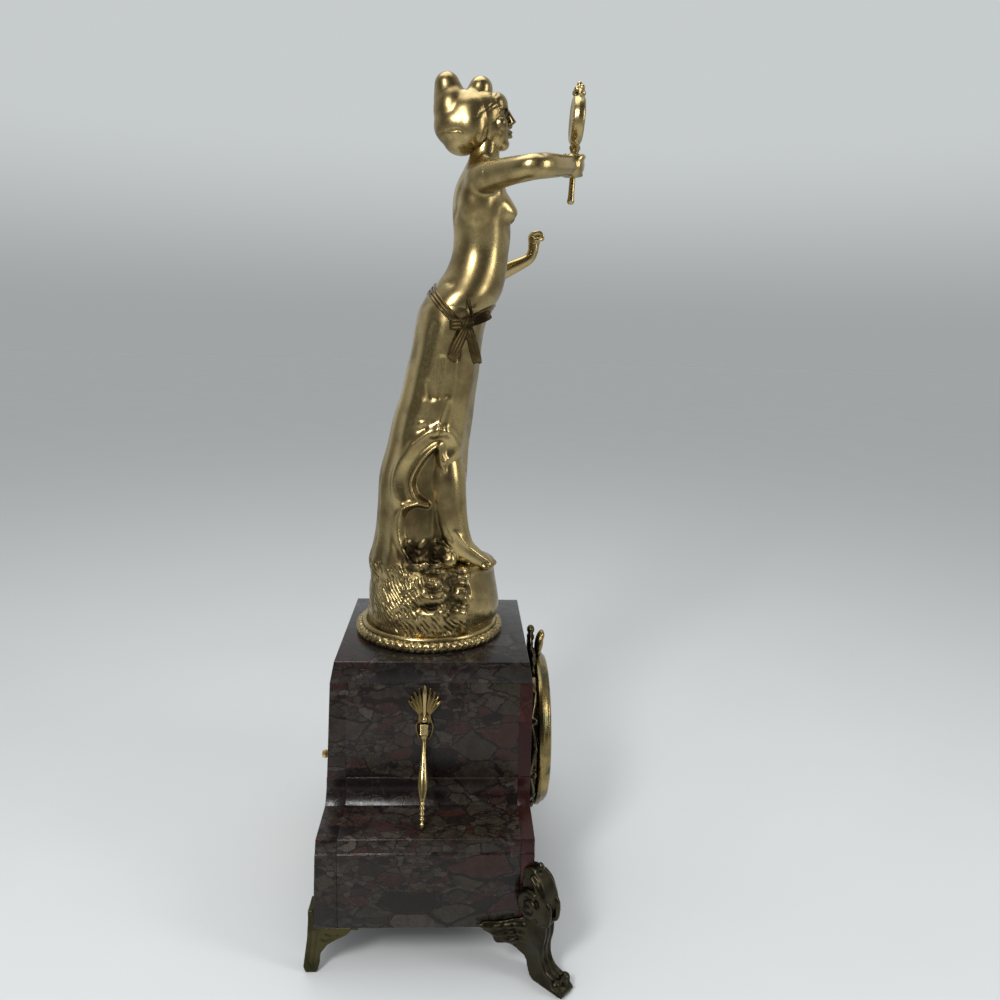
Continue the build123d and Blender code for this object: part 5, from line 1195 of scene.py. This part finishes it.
def skirt_and_leg():
    cloth, outline, hem = skirt_cloth()
    lumps = [cloth, tube(above_slab(LEG), 90, 34)]
    for k, (out, reach, radius) in enumerate(TOES):
        height = TOP_Z + 56.4 + 0.4 * k
        lumps.append(lump(-18.4 + out, reach, height, radius, radius * 1.6, radius * 1.1))
    for k, (x, y, h, *radii) in enumerate(CRAGS):
        lumps.append(lump(x, y, TOP_Z + h, *radii, (31 * k, 23 * k, 17 * k)))
    whole = cast("figure_skirt_cast", lumps, 0.85, 2)
    tool(whole, [(on_flank(route), width, rise) for route, width, rise in CREASES])
    tool(whole, [(above_slab(route), width, rise) for route, width, rise in LEG_CREASES])
    place, _ = corners(whole)
    x, y, h = place[:, 0] / MM, (place[:, 1] - AXIS_Y) / MM, place[:, 2] / MM - TOP_Z
    rough = np.array([noise.turbulence(Vector(point) / (13 * MM), 2, True) - 0.5 for point in place])
    depth = np.clip((away_from(np.column_stack([y, h]), hem) - 0.6) / 4.0, 0, 1)
    bare = inside(outline, y, h) * (x < 0)
    shaded = bare * depth * np.clip((y + 16) / 12, 0, 1) * np.clip((150 - h) / 20, 0, 1)
    craggy = (x < -8) * np.clip((84 + 16 * rough - h) / 6, 0, 1)
    craggy = craggy * np.clip((y + 13) / 6, 0, 1) * np.clip((27 - y) / 5, 0, 1)
    into_rock = np.clip((65 + 16 * rough - h) / 4, 0, 1) * np.clip((y - 2) / 10, 0, 1)
    cuts = np.zeros(len(h))
    for k in np.flatnonzero(into_rock):
        cuts[k] = into_rock[k] * cut_depth(math.atan2(y[k], x[k]) % (2 * math.pi), y[k], h[k])
    shift = MM * (5.0 * craggy * rough - 1.2 * cuts)
    move_corners(whole, place + corners(whole)[1] * shift[:, None])
    # Painted shade: in the recess under the rolled hem, in the cuts where the cloth runs into the rock, and
    # in the hollows of the crags.
    shade_values = 0.55 * shaded + 0.8 * cuts + craggy * np.clip(0.3 - 2.4 * rough, 0, 0.9)
    set_painted_shade(whole, np.clip(shade_values, 0, 1))
    return whole


skirt = skirt_and_leg()
dress(skirt, gilt)
stand_in(skirt, "figure_skirt")

# Torso
# The bare upper body, cast hollow and polished bright: back arched, belly soft over the belt, neck drawn
# up. The arms and the head are cast apart and joined at the shoulders and under the hair.
TORSO_STEP = 1.2
# Sections of the body: height above the top slab, middle, half depth and half width.
TORSO = (
    (240.0, -11.8, 25.2, 30.4), (246.0, -14.6, 26.0, 30.6), (252.0, -18.2, 26.4, 30.0),
    (260.0, -23.0, 24.6, 27.4), (271.0, -27.6, 21.9, 24.2), (282.0, -30.0, 20.5, 22.8),
    (294.0, -31.0, 20.6, 24.0), (309.0, -30.0, 20.6, 27.2), (321.0, -29.0, 18.8, 29.6),
    (330.0, -29.0, 16.2, 29.4), (336.0, -29.6, 13.6, 25.0), (341.0, -30.4, 12.0, 18.0),
    (346.0, -31.4, 10.8, 12.4), (354.0, -32.6, 10.2, 10.6), (362.0, -33.0, 10.0, 10.2),
)
# Raised arm: a place with its height above the top slab, and the radius there.
RIGHT_ARM = (
    (-18, -27, 327, 10.0), (-28, -30.5, 328.5, 10.6), (-38, -38.5, 329.5, 9.6), (-49, -48, 330.2, 8.7),
    (-58, -56.5, 330.6, 8.2), (-60.5, -62.5, 331.4, 8.0), (-56.5, -69.5, 332.8, 7.9), (-49, -76, 334.4, 7.4),
    (-41, -82, 336.0, 6.7), (-34, -87, 337.4, 6.1),
)
BREAST = ((10, -34, 316, 13.5), (11.4, -43, 312.0, 11.6), (12.2, -50, 309.6, 7.4), (12.6, -55.4, 308.8, 2.8))
# Muscles of either side: place and three radii.
MUSCLES = (
    (16, -38, 321, 12.0, 9.0, 11.0), (27.0, -29.4, 328.0, 10.6, 11.0, 10.6),
    (14.0, -17.5, 316, 8.5, 6.0, 14.0), (21.0, -28.0, 316, 10.5, 13.5, 17.0),
)
# Lines of the body, in the middle and on either side: route, half width and rise.
BODY_LINES = (
    (((-63, -67, 338), (-66, -60, 331)), 2.2, -0.5),
    (((-30, -44, 320.5), (-36, -40, 320)), 1.5, -0.9),
    (((0, -8, 250), (0, -8.5, 282), (0, -9, 325)), 3.0, -1.7),
    (((0, -48, 262),), 2.2, -1.8),
    (((0, -50, 268), (0, -51, 296)), 3.2, -0.7),
    (((0, -52, 303), (0, -49, 318)), 3.4, -1.2),
    (((0, -43.5, 339),), 2.6, -1.2),
    (((-26, -10, 262), (0, -4, 256), (26, -10, 262)), 2.8, -0.8),
)
SIDE_LINES = (
    (((5, -44, 335), (15, -42.5, 336.5), (25, -36, 336)), 1.9, 1.0),
    (((10, -12, 306), (17, -13, 310), (21, -15, 322)), 2.6, -0.9),
    (((12.6, -57.0, 308.8),), 1.6, 0.9),
    (((6.5, -41.5, 352), (3.0, -43.0, 340)), 1.8, 0.7),
)
# The right arm's seam: a plane that only the arm crosses.
SEAM_WAY = Vector((-0.72, -0.69, 0.0)).normalized()
SEAM_AT = spot(-36.4, -36.4, TOP_Z + 329)


def cut_at_seam(piece, keep_arm):
    edit_all(piece)
    bpy.ops.mesh.bisect(
        plane_co=SEAM_AT, plane_no=SEAM_WAY, use_fill=True, clear_inner=keep_arm, clear_outer=not keep_arm
    )
    leave_edit()


def on_side(route, side):
    return [(side * x, *rest) for x, *rest in route]


def torso_and_right_arm():
    """Body and raised arm modelled as one, so that the shoulder runs through, then parted at the seam."""
    heights = np.arange(240.0, 362.0, TORSO_STEP)
    turn = np.linspace(0, 2 * math.pi, 160, endpoint=False)
    rings = []
    for height, (middle, deep, wide) in zip(heights, through(TORSO, heights)):
        rings.append([spot(wide * math.cos(a), middle + deep * math.sin(a), TOP_Z + height) for a in turn])
    lumps = [skin("trunk", rings)]
    for side in (-1, 1):
        lumps.append(tube(above_slab(on_side(BREAST, side)), 30, 28))
        lumps += [lump(*muscle) for muscle in above_slab(on_side(MUSCLES, side))]
    trunk = cast("trunk", lumps, 0.9, 45)
    body = cast("figure_torso_cast", [trunk, tube(above_slab(RIGHT_ARM), 110, 34)], 0.8, 16)
    tool(body, [(above_slab(route), width, rise) for route, width, rise in BODY_LINES])
    for side in (-1, 1):
        tool(body, [(above_slab(on_side(route, side)), width, rise) for route, width, rise in SIDE_LINES])
    arm = new_piece("figure_right_arm_cast", body.data.copy())
    cut_at_seam(body, keep_arm=False)
    cut_at_seam(arm, keep_arm=True)
    return body, arm


torso, raised_arm = torso_and_right_arm()
dress(torso, gilt)
stand_in(torso, "figure_torso")

# Belt
# A girdle of three thin cords, tied on the near hip in a bow of four straps of three cords. It
# is cast with the cloth and chased afterwards; round the knot, where the cords crowd, shade is painted in.
KNOT = (-33.0, -22.0, 233.0)
CORD_R = 1.45
TIE_R = 1.3
GIRDLE_R, GIRDLE_OUT = 1.05, 0.2
# Straps of the bow, as (y, height) of the end, spacing of its three cords and how far the end sinks in.
BOW = (
    ((-10.6, 232.0), 2.5, 0.6), ((-36.0, 239.4), 2.1, 2.6), ((-11.0, 209.6), 2.2, 0.0),
    ((-28.6, 208.0), 2.3, 0.8),
)
# A strap's cords from the knot to the end: share of the length, share of the spacing, and lift.
STRAP = ((0.0, 0.3, 0.6), (0.3, 0.8, 2.2), (0.7, 1.0, 2.4), (0.95, 0.9, 1.6), (1.0, 0.8, 0.2))
# Turns of cord round the knot: place along it and half height.
TIES = ((-2.4, 3.4), (0.6, 3.6), (3.2, 2.6))
# Runs of the girdle round the waist: angles in degrees, and height against the share of the run.
GIRDLE = (
    (90, 194, ((0.0, 258.0), (0.35, 253.0), (0.7, 243.0), (1.0, 233.0))),
    (196, 272, ((0.0, 233.0), (0.3, 237.5), (0.65, 242.5), (1.0, 244.5))),
    (272, 450, ((0.0, 244.5), (0.4, 243.0), (0.75, 248.0), (1.0, 258.0))),
)


def round_waist(start, end, lift, spread):
    """A cord half sunk into the waist, from one angle to another."""
    route = []
    for k in range(17):
        share = k / 16
        angle = math.radians(start + (end - start) * share)
        height = through(lift, [share])[0][0] + spread
        middle, deep, wide = through(TORSO if height > 240 else SKIRT, [height])[0]
        x, y = (wide + GIRDLE_OUT) * math.cos(angle), middle + (deep + GIRDLE_OUT) * math.sin(angle)
        route.append((x, y, TOP_Z + height, GIRDLE_R))
    return tube(route, 110, 12)


def belt_sash():
    lumps = []
    for spread in (-2.3, 0.0, 2.3):
        lumps += [round_waist(start, end, lift, spread) for start, end, lift in GIRDLE]
    x, y, h = KNOT
    lumps.append(lump(x + 0.6, y, TOP_Z + h, 3.6, 4.0, 4.4))
    for along, half in TIES:
        wrap = (
            (x - 1.2, y + along - 1.6, h + half, TIE_R), (x - 3.6, y + along, h, TIE_R),
            (x - 1.2, y + along + 1.6, h - half, TIE_R),
        )
        lumps.append(tube(above_slab(wrap), 20, 12))
    for (end_y, end_h), spacing, sink in BOW:
        run = np.array([end_y - y, end_h - h])
        over = np.array([-run[1], run[0]]) / np.linalg.norm(run)
        for place in (-1, 0, 1):
            route = []
            for share, spread, lift in STRAP:
                if share == 1.0:
                    share += 0.03 * abs(place - 0.4)
                out_y, out_h = run * share + over * spacing * spread * place
                route.append((x + 0.4 - lift + sink * share, y + out_y, TOP_Z + h + out_h, CORD_R))
            lumps.append(tube(route, 40, 12))
            lumps.append(lump(*route[-1][:3], CORD_R))
    loose_end = ((x + 1.0, -24.6, 239, 1.1), (x + 0.6, -23.0, 245, 1.3), (x + 1.6, -22.0, 249.5, 1.0))
    lumps.append(tube(above_slab(loose_end), 16, 12))
    sash = cast("belt_sash_cast", lumps, 0.4, 1)
    # Painted shade round the knot, where the cords crowd; it fades out 36 mm away.
    place, _ = corners(sash)
    from_knot = np.linalg.norm(place - np.array(spot(x, y, TOP_Z + h)), axis=1) / MM
    set_painted_shade(sash, np.clip(1.2 - from_knot / 30, 0, 0.88))
    return sash


belt = belt_sash()
dress(belt, dark_gilt)
stand_in(belt, "belt_sash")

# Head
# Cast apart and set on the neck, tilted a little back. The hair is brushed over the ears to the nape and
# gathered in two knots on top. The face is a plain calm one on common proportions.
HEAD = (0.0, -29.5, 370.5)
HEAD_TILT = math.radians(8)
HEAD_SCALE = 1.05


def in_head(side, ahead, up):
    """A point of the head: to one side, ahead of its middle and above it."""
    side, ahead, up = side * HEAD_SCALE, ahead * HEAD_SCALE, up * HEAD_SCALE
    y = HEAD[1] - ahead * math.cos(HEAD_TILT) + up * math.sin(HEAD_TILT)
    return (HEAD[0] + side, y, TOP_Z + HEAD[2] + ahead * math.sin(HEAD_TILT) + up * math.cos(HEAD_TILT))


def head_bar(stations, steps, sides):
    return tube([(*in_head(*place), radius) for *place, radius in stations], steps, sides)


# Nose and lips: points of the head with a radius, and how many steps and sides the bar has.
FACE_BARS = (
    (((0, 17.0, 4.6, 1.7), (0, 18.8, 0.4, 1.9), (0, 20.6, -3.8, 2.4)), 16, 14),
    (((-4.0, 16.0, -9.5, 0.8), (0, 18.2, -8.9, 1.3), (4.0, 16.0, -9.5, 0.8)), 20, 12),
    (((-3.6, 16.0, -11.0, 0.9), (0, 17.7, -11.4, 1.5), (3.6, 16.0, -11.0, 0.9)), 20, 12),
)
BROW = ((2.4, 17.0, 4.6, 1.3), (6.4, 16.0, 5.8, 1.5), (10.6, 12.6, 4.0, 1.2))
# Lines of either half of the face and of the mouth, in points of the head: route, half width and rise.
EYE_LINES = (
    (((4.2, 17.0, 1.6), (8.4, 15.2, 1.4)), 2.3, -1.7),
    (((6.2, 14.6, 0.9),), 2.0, 1.3),
    (((3.6, 15.4, 0.9), (6.2, 15.6, 2.1), (9.2, 13.4, 0.9)), 0.6, 0.55),
    (((4.0, 15.0, -0.3), (6.4, 15.0, -0.9), (8.8, 13.4, 0.2)), 0.6, 0.35),
    (((1.2, 19.4, -6.2),), 0.7, -0.6),
)
MOUTH_LINES = (
    (((-4.0, 16.6, -10.3), (0, 18.6, -10.2), (4.0, 16.6, -10.3)), 0.55, -0.9),
    (((0, 18.0, -6.6), (0, 18.0, -8.2)), 0.7, -0.4),
    (((-3, 16.6, -13.4), (0, 17.4, -13.6), (3, 16.6, -13.4)), 1.2, -0.7),
)
HAIRLINE = ((5, 13.4, 16.8), (11.5, 9.5, 11.5), (15.6, 5.0, 3.0), (15.8, 2.6, -6.0), (13.4, -2.0, -14.5))
CROWN = TOP_Z + 380.0


def hair_strand(lean):
    """One comb line from the brow over the head to the nape, in points of the head."""
    strand = []
    for j in range(9):
        share = j / 8
        fall = (20.0 - 30.0 * share**1.6) * math.cos(lean)
        up = fall - 5.0 * math.sin(lean) * math.sin(math.pi * share)
        wide = 18.6 * math.sin(lean) * math.sin(math.pi * (0.18 + 0.66 * share))
        strand.append((wide, 11.5 - 32.0 * share, up - 0.4))
    return strand


def head_cast():
    tilt = (-math.degrees(HEAD_TILT), 0, 0)
    lumps = [
        lump(*in_head(0, -1, 3), 15.4, 18.6, 17.6, tilt),
        lump(*in_head(0, 5.5, -5.5), 12.6, 12.6, 14.6, tilt),
        lump(*in_head(0, 11.6, -15.2), 6.0, 5.2, 4.8, tilt),
        lump(*in_head(0, 10.0, 8.5), 11.5, 8.6, 8.5, tilt),
    ]
    lumps += [head_bar(*bar) for bar in FACE_BARS]
    for side in (-1, 1):
        lumps.append(lump(*in_head(side * 6.8, 11.4, -4.5), 5.6, 5.2, 5.6))
        lumps.append(lump(*in_head(side * 2.0, 18.2, -4.9), 1.6, 1.8, 1.4))
        lumps.append(head_bar(on_side(BROW, side), 20, 12))
    back = HEAD[1] + 13.0
    hair_lumps = [
        lump(*in_head(-9.0, -8.0, -3.0), 9.6, 13.0, 15.0, tilt),
        lump(*in_head(9.0, -8.0, -3.0), 9.6, 13.0, 15.0, tilt),
        lump(*in_head(0, -8.0, 2.2), 18.0, 20.4, 18.8, tilt),
        lump(0, back, CROWN - 13, 17.4, 20.6, 16.0),
        lump(0, -8.8, CROWN - 3, 14.6, 13.2, 17.0),
        lump(0, back + 1.0, CROWN - 22, 13.6, 13.0, 10.5),
        tube([
            (0, -10.0, CROWN - 8, 13.6), (0, -7.2, CROWN + 4, 11.6), (0, -5.4, CROWN + 12.4, 9.4),
        ], 24, 30),
        tube([
            (0, -23.5, CROWN - 8, 14.0), (0, -26.4, CROWN + 3, 11.0), (0, -28.2, CROWN + 11.2, 8.6),
        ], 24, 30),
        lump(0, -5.2, CROWN + 12.6, 9.6, 9.0, 9.0),
        lump(0, -28.2, CROWN + 11.4, 9.0, 8.4, 8.2),
    ]
    face, hair = cast("face", lumps, 0.55, 5), cast("hair", hair_lumps, 0.7, 40)
    whole = joined("figure_head_cast", [face, hair])
    lines = []
    for side in (-1, 1):
        lines += [(on_side(route, side), width, rise) for route, width, rise in EYE_LINES]
    lines += MOUTH_LINES
    strokes = [([in_head(*point) for point in route], width, rise) for route, width, rise in lines]
    for side in (-1, 1):
        combed = [(hair_strand(0.16 + 0.13 * k), 0.8, -0.3) for k in range(9)] + [(HAIRLINE, 1.0, -1.0)]
        for route, width, rise in combed:
            strokes.append(([in_head(*point) for point in on_side(route, side)], width, rise))
        roll = ((15.5, -22, CROWN - 22), (16.2, -14, CROWN - 19), (12.5, -3, CROWN - 20), (0, 4, CROWN - 21))
        strokes.append((on_side(roll, side), 0.9, -0.9))
    tool(whole, strokes)
    return whole


head = head_cast()
dress(head, gilt)
stand_in(head, "figure_head")

# Arms
# Cast apart, with a seam at each shoulder. The right one is raised with the elbow out and grips the
# mirror; the left one is bent, with the hand closed.
LEFT_ARM = (
    (20, -28, 328.5, 8.4), (28, -28.5, 328, 9.2), (34, -27, 316, 8.8), (37, -25, 296, 8.0),
    (38.6, -24.5, 277, 7.2), (38.9, -27, 267.5, 6.9), (38.4, -34, 267.2, 6.8), (37.5, -44, 271, 6.3),
    (36, -58, 277.4, 5.0), (35.2, -67.5, 282.6, 4.1), (35, -70.5, 288, 4.0), (35, -71, 292.5, 4.3),
    (35, -71.6, 297.5, 4.6),
)
FINGER_TAPER = 0.12
LEFT_FINGERS_X, LEFT_FINGER_GAP = 30.8, 2.7
RIGHT_FINGERS_TOP, RIGHT_FINGER_GAP = 343.6, 3.6
# One finger of each hand: (y, height), and (x, y, how far above the finger's own height).
LEFT_FINGER = ((-69.5, 300.5), (-74.5, 301.6), (-77.4, 298.6), (-74.4, 295.6))
RIGHT_FINGER = (
    (-31.5, -84.6, 0.0), (-25.6, -85.0, 0.4), (-21.6, -88.2, 0.6), (-22.4, -93.4, 0.4), (-27.0, -96.6, 0.0)
)
LEFT_THUMB = ((29.6, -70.5, 296.0), (30.6, -75.5, 296.4), (34.0, -77.8, 297.2))
RIGHT_THUMB = ((-35.5, -90.0, 341.0), (-34.0, -95.0, 343.0), (-29.0, -97.2, 344.0))


def finger(points, radius):
    stations = [(x, y, TOP_Z + h, radius * (1 - FINGER_TAPER * k)) for k, (x, y, h) in enumerate(points)]
    return [tube(stations, 18, 12), lump(*stations[-1][:3], stations[-1][3])]


def right_arm():
    lumps = [
        tube(above_slab(RIGHT_ARM[-3:]), 30, 30),
        lump(-30.5, -90.4, TOP_Z + 338.2, 8.0, 7.0, 8.2),
        lump(-27.5, -92.4, TOP_Z + 339.0, 6.6, 6.0, 7.6),
    ]
    for k in range(4):
        top = RIGHT_FINGERS_TOP - RIGHT_FINGER_GAP * k
        lumps += finger([(x, y, top + above) for x, y, above in RIGHT_FINGER], 2.2)
    lumps += finger(RIGHT_THUMB, 2.3)
    return joined("figure_right_arm_cast", [raised_arm, cast("hand", lumps, 0.6, 5)])


def left_arm():
    lumps = [
        tube(above_slab(LEFT_ARM), 120, 30),
        lump(35, -71.0, TOP_Z + 297.0, 5.2, 4.6, 5.6),
        lump(35, -73.6, TOP_Z + 298.6, 5.0, 4.2, 3.4),
    ]
    for k in range(4):
        x = LEFT_FINGERS_X + LEFT_FINGER_GAP * k
        lumps += finger([(x, y, h) for y, h in LEFT_FINGER], 1.6)
    lumps += finger(LEFT_THUMB, 1.7)
    return cast("figure_left_arm_cast", lumps, 0.6, 2)


for limb, node in ((right_arm(), "figure_right_arm"), (left_arm(), "figure_left_arm")):
    dress(limb, gilt)
    stand_in(limb, node)

# Hand mirror
# A round hand mirror cast in one: a disc in a thick moulded frame, leaves at the top and at the neck, and
# a slim turned handle that passes through the closed hand.
MIRROR = (-27.0, -91.0, 367.3)
MIRROR_YAW = math.radians(-1)
MIRROR_LEAN = 0.04
GRIP_H = 340.0
DISC_SIDES = 96
# The disc from one face to the other: radius and place ahead; and the handle: height and radius.
DISC = (
    (0.3, -2.4), (8, -2.8), (11.4, -3.4), (13.2, -4.2), (14.8, -3.2), (15.6, 0), (14.8, 3.2), (13.2, 4.2),
    (11.4, 3.4), (8, 2.8), (0.3, 2.4),
)
HANDLE = (
    (314, 1.7), (316, 2.6), (319, 2.2), (330, 2.0), (342, 2.2), (347, 2.8), (350, 3.9), (352, 3.0), (354, 2.4)
)
# Leaves at the neck and at the top: across, ahead, height and radius.
LEAVES = (
    ((1.5, 0, 349.5, 1.9), (5.0, 0, 352.5, 2.0), (8.0, 0, 355.5, 1.2)),
    ((2.0, 0, 384.5, 1.9), (5.5, -0.5, 383.5, 1.9), (8.5, 0, 380.6, 1.1)),
)


def on_mirror(across, ahead, h):
    """A point of the mirror: across its disc, ahead of it, and at a height."""
    turn_x, turn_y = math.cos(MIRROR_YAW), math.sin(MIRROR_YAW)
    ahead -= MIRROR_LEAN * (h - GRIP_H)
    x = MIRROR[0] + across * turn_x - ahead * turn_y
    return (x, MIRROR[1] + across * turn_y + ahead * turn_x, TOP_Z + h)


def hand_mirror():
    rim = []
    for radius, ahead in DISC:
        ring = []
        for k in range(DISC_SIDES):
            turn = 2 * math.pi * k / DISC_SIDES
            height = MIRROR[2] + radius * math.sin(turn)
            ring.append(spot(*on_mirror(radius * math.cos(turn), ahead, height)))
        rim.append(ring)
    lumps = [skin("disc", rim)]
    lumps.append(tube([(*on_mirror(0, 0, h), radius) for h, radius in HANDLE], 60, 18))
    for side in (-1, 1):
        for leaf in LEAVES:
            stations = [(*on_mirror(*place), radius) for *place, radius in on_side(leaf, side)]
            lumps.append(tube(stations, 18, 12))
        lumps.append(lump(*on_mirror(side * 2.6, 1.8, 385.8), 2.0))
        lumps.append(lump(*on_mirror(side * 1.6, -1.8, 387.2), 1.8))
    lumps.append(lump(*on_mirror(0, 0, 388.6), 2.2, 2.0, 2.8))
    lumps.append(lump(*on_mirror(0, 2.4, 384.0), 2.2))
    lumps.append(lump(*on_mirror(0, -2.4, 384.0), 2.2))
    return cast("hand_mirror_cast", lumps, 0.5, 1)


mirror = hand_mirror()
dress(mirror, gilt)
stand_in(mirror, "hand_mirror")

# Studio
# A plain pale floor, soft light from the camera's left and above, and the camera where the photograph was
# taken from. The side behind the camera is dim, so that polished metal shows depth.
FLOOR_HALF = 10.0
CAMERA = Vector((-0.6100, -0.0105, 0.4344))
CAMERA_YAW = math.radians(-2.886)
CAMERA_PITCH = math.radians(11.883)
CAMERA_ROLL = math.radians(1.486)
CAMERA_LENS = 29.52

bpy.ops.mesh.primitive_grid_add(
    x_subdivisions=24, y_subdivisions=24, size=2 * FLOOR_HALF, location=(0, 0, 0)
)
floor = bpy.context.object
floor.name = "studio_floor"
dress(floor, clouded(
    "pale_floor", 6.0, 4.0, (0.54, 0.55, 0.55, 1), (0.57, 0.58, 0.58, 1), (0.3, 0.7, 0.5, 0.6),
    Specular_IOR_Level=0.3,
))


def make_world():
    world = bpy.data.worlds.new("studio")
    bpy.context.scene.world = world
    world.use_nodes = True
    tree = world.node_tree
    lit = tree.nodes["Background"]
    direction = add_node(tree, "ShaderNodeTexCoord").outputs["Generated"]
    parts = add_node(tree, "ShaderNodeSeparateXYZ")
    tree.links.new(direction, parts.inputs[0])
    behind = ramp(tree, parts.outputs[0], -0.5, 0.6)
    mirrored_room = blend_colours(tree, behind, (0.05, 0.05, 0.052, 1), (0.58, 0.6, 0.61, 1))
    path = add_node(tree, "ShaderNodeLightPath").outputs
    colour = blend_colours(tree, path["Is Glossy Ray"], (0.6, 0.62, 0.63, 1), mirrored_room)
    upward = ramp(tree, parts.outputs[2], 0.0, 0.22)
    wall = blend_colours(tree, upward, (0.356, 0.371, 0.376, 1), (0.57, 0.6, 0.605, 1))
    colour = blend_colours(tree, path["Is Camera Ray"], colour, wall)
    tree.links.new(colour, lit.inputs["Color"])
    lit.inputs["Strength"].default_value = 1.0


make_world()


def soft_lamp(name, place, target, size, power):
    data = bpy.data.lights.new(name, "AREA")
    data.shape = "RECTANGLE"
    data.size, data.size_y = size
    data.energy = power
    lamp = new_piece(name, data)
    lamp.location = place
    lamp.rotation_euler = (Vector(target) - Vector(place)).to_track_quat("-Z", "Y").to_euler()


soft_lamp("key", (-0.85, 0.42, 0.95), (0, 0, 0.35), (0.22, 0.36), 9.0)
soft_lamp("front_fill", (-0.5, -0.95, 0.75), (0, 0, 0.35), (0.25, 0.7), 4.0)
soft_lamp("overhead", (0.15, 0.1, 1.5), (0, 0, 0.3), (0.9, 0.9), 7.0)

forward = Vector((
    math.cos(CAMERA_YAW) * math.cos(CAMERA_PITCH),
    math.sin(CAMERA_YAW) * math.cos(CAMERA_PITCH),
    -math.sin(CAMERA_PITCH),
))
level = Vector((math.sin(CAMERA_YAW), -math.cos(CAMERA_YAW), 0))
upward = level.cross(forward)
right = level * math.cos(CAMERA_ROLL) + upward * math.sin(CAMERA_ROLL)
upright = upward * math.cos(CAMERA_ROLL) - level * math.sin(CAMERA_ROLL)
lens = bpy.data.cameras.new("photo_camera")
lens.lens = CAMERA_LENS
lens.sensor_width = 36.0
camera = new_piece("photo_camera", lens)
camera.matrix_world = Matrix.Translation(CAMERA) @ Matrix((right, upright, -forward)).transposed().to_4x4()
bpy.context.scene.camera = camera
bpy.context.scene.view_settings.view_transform = "Standard"
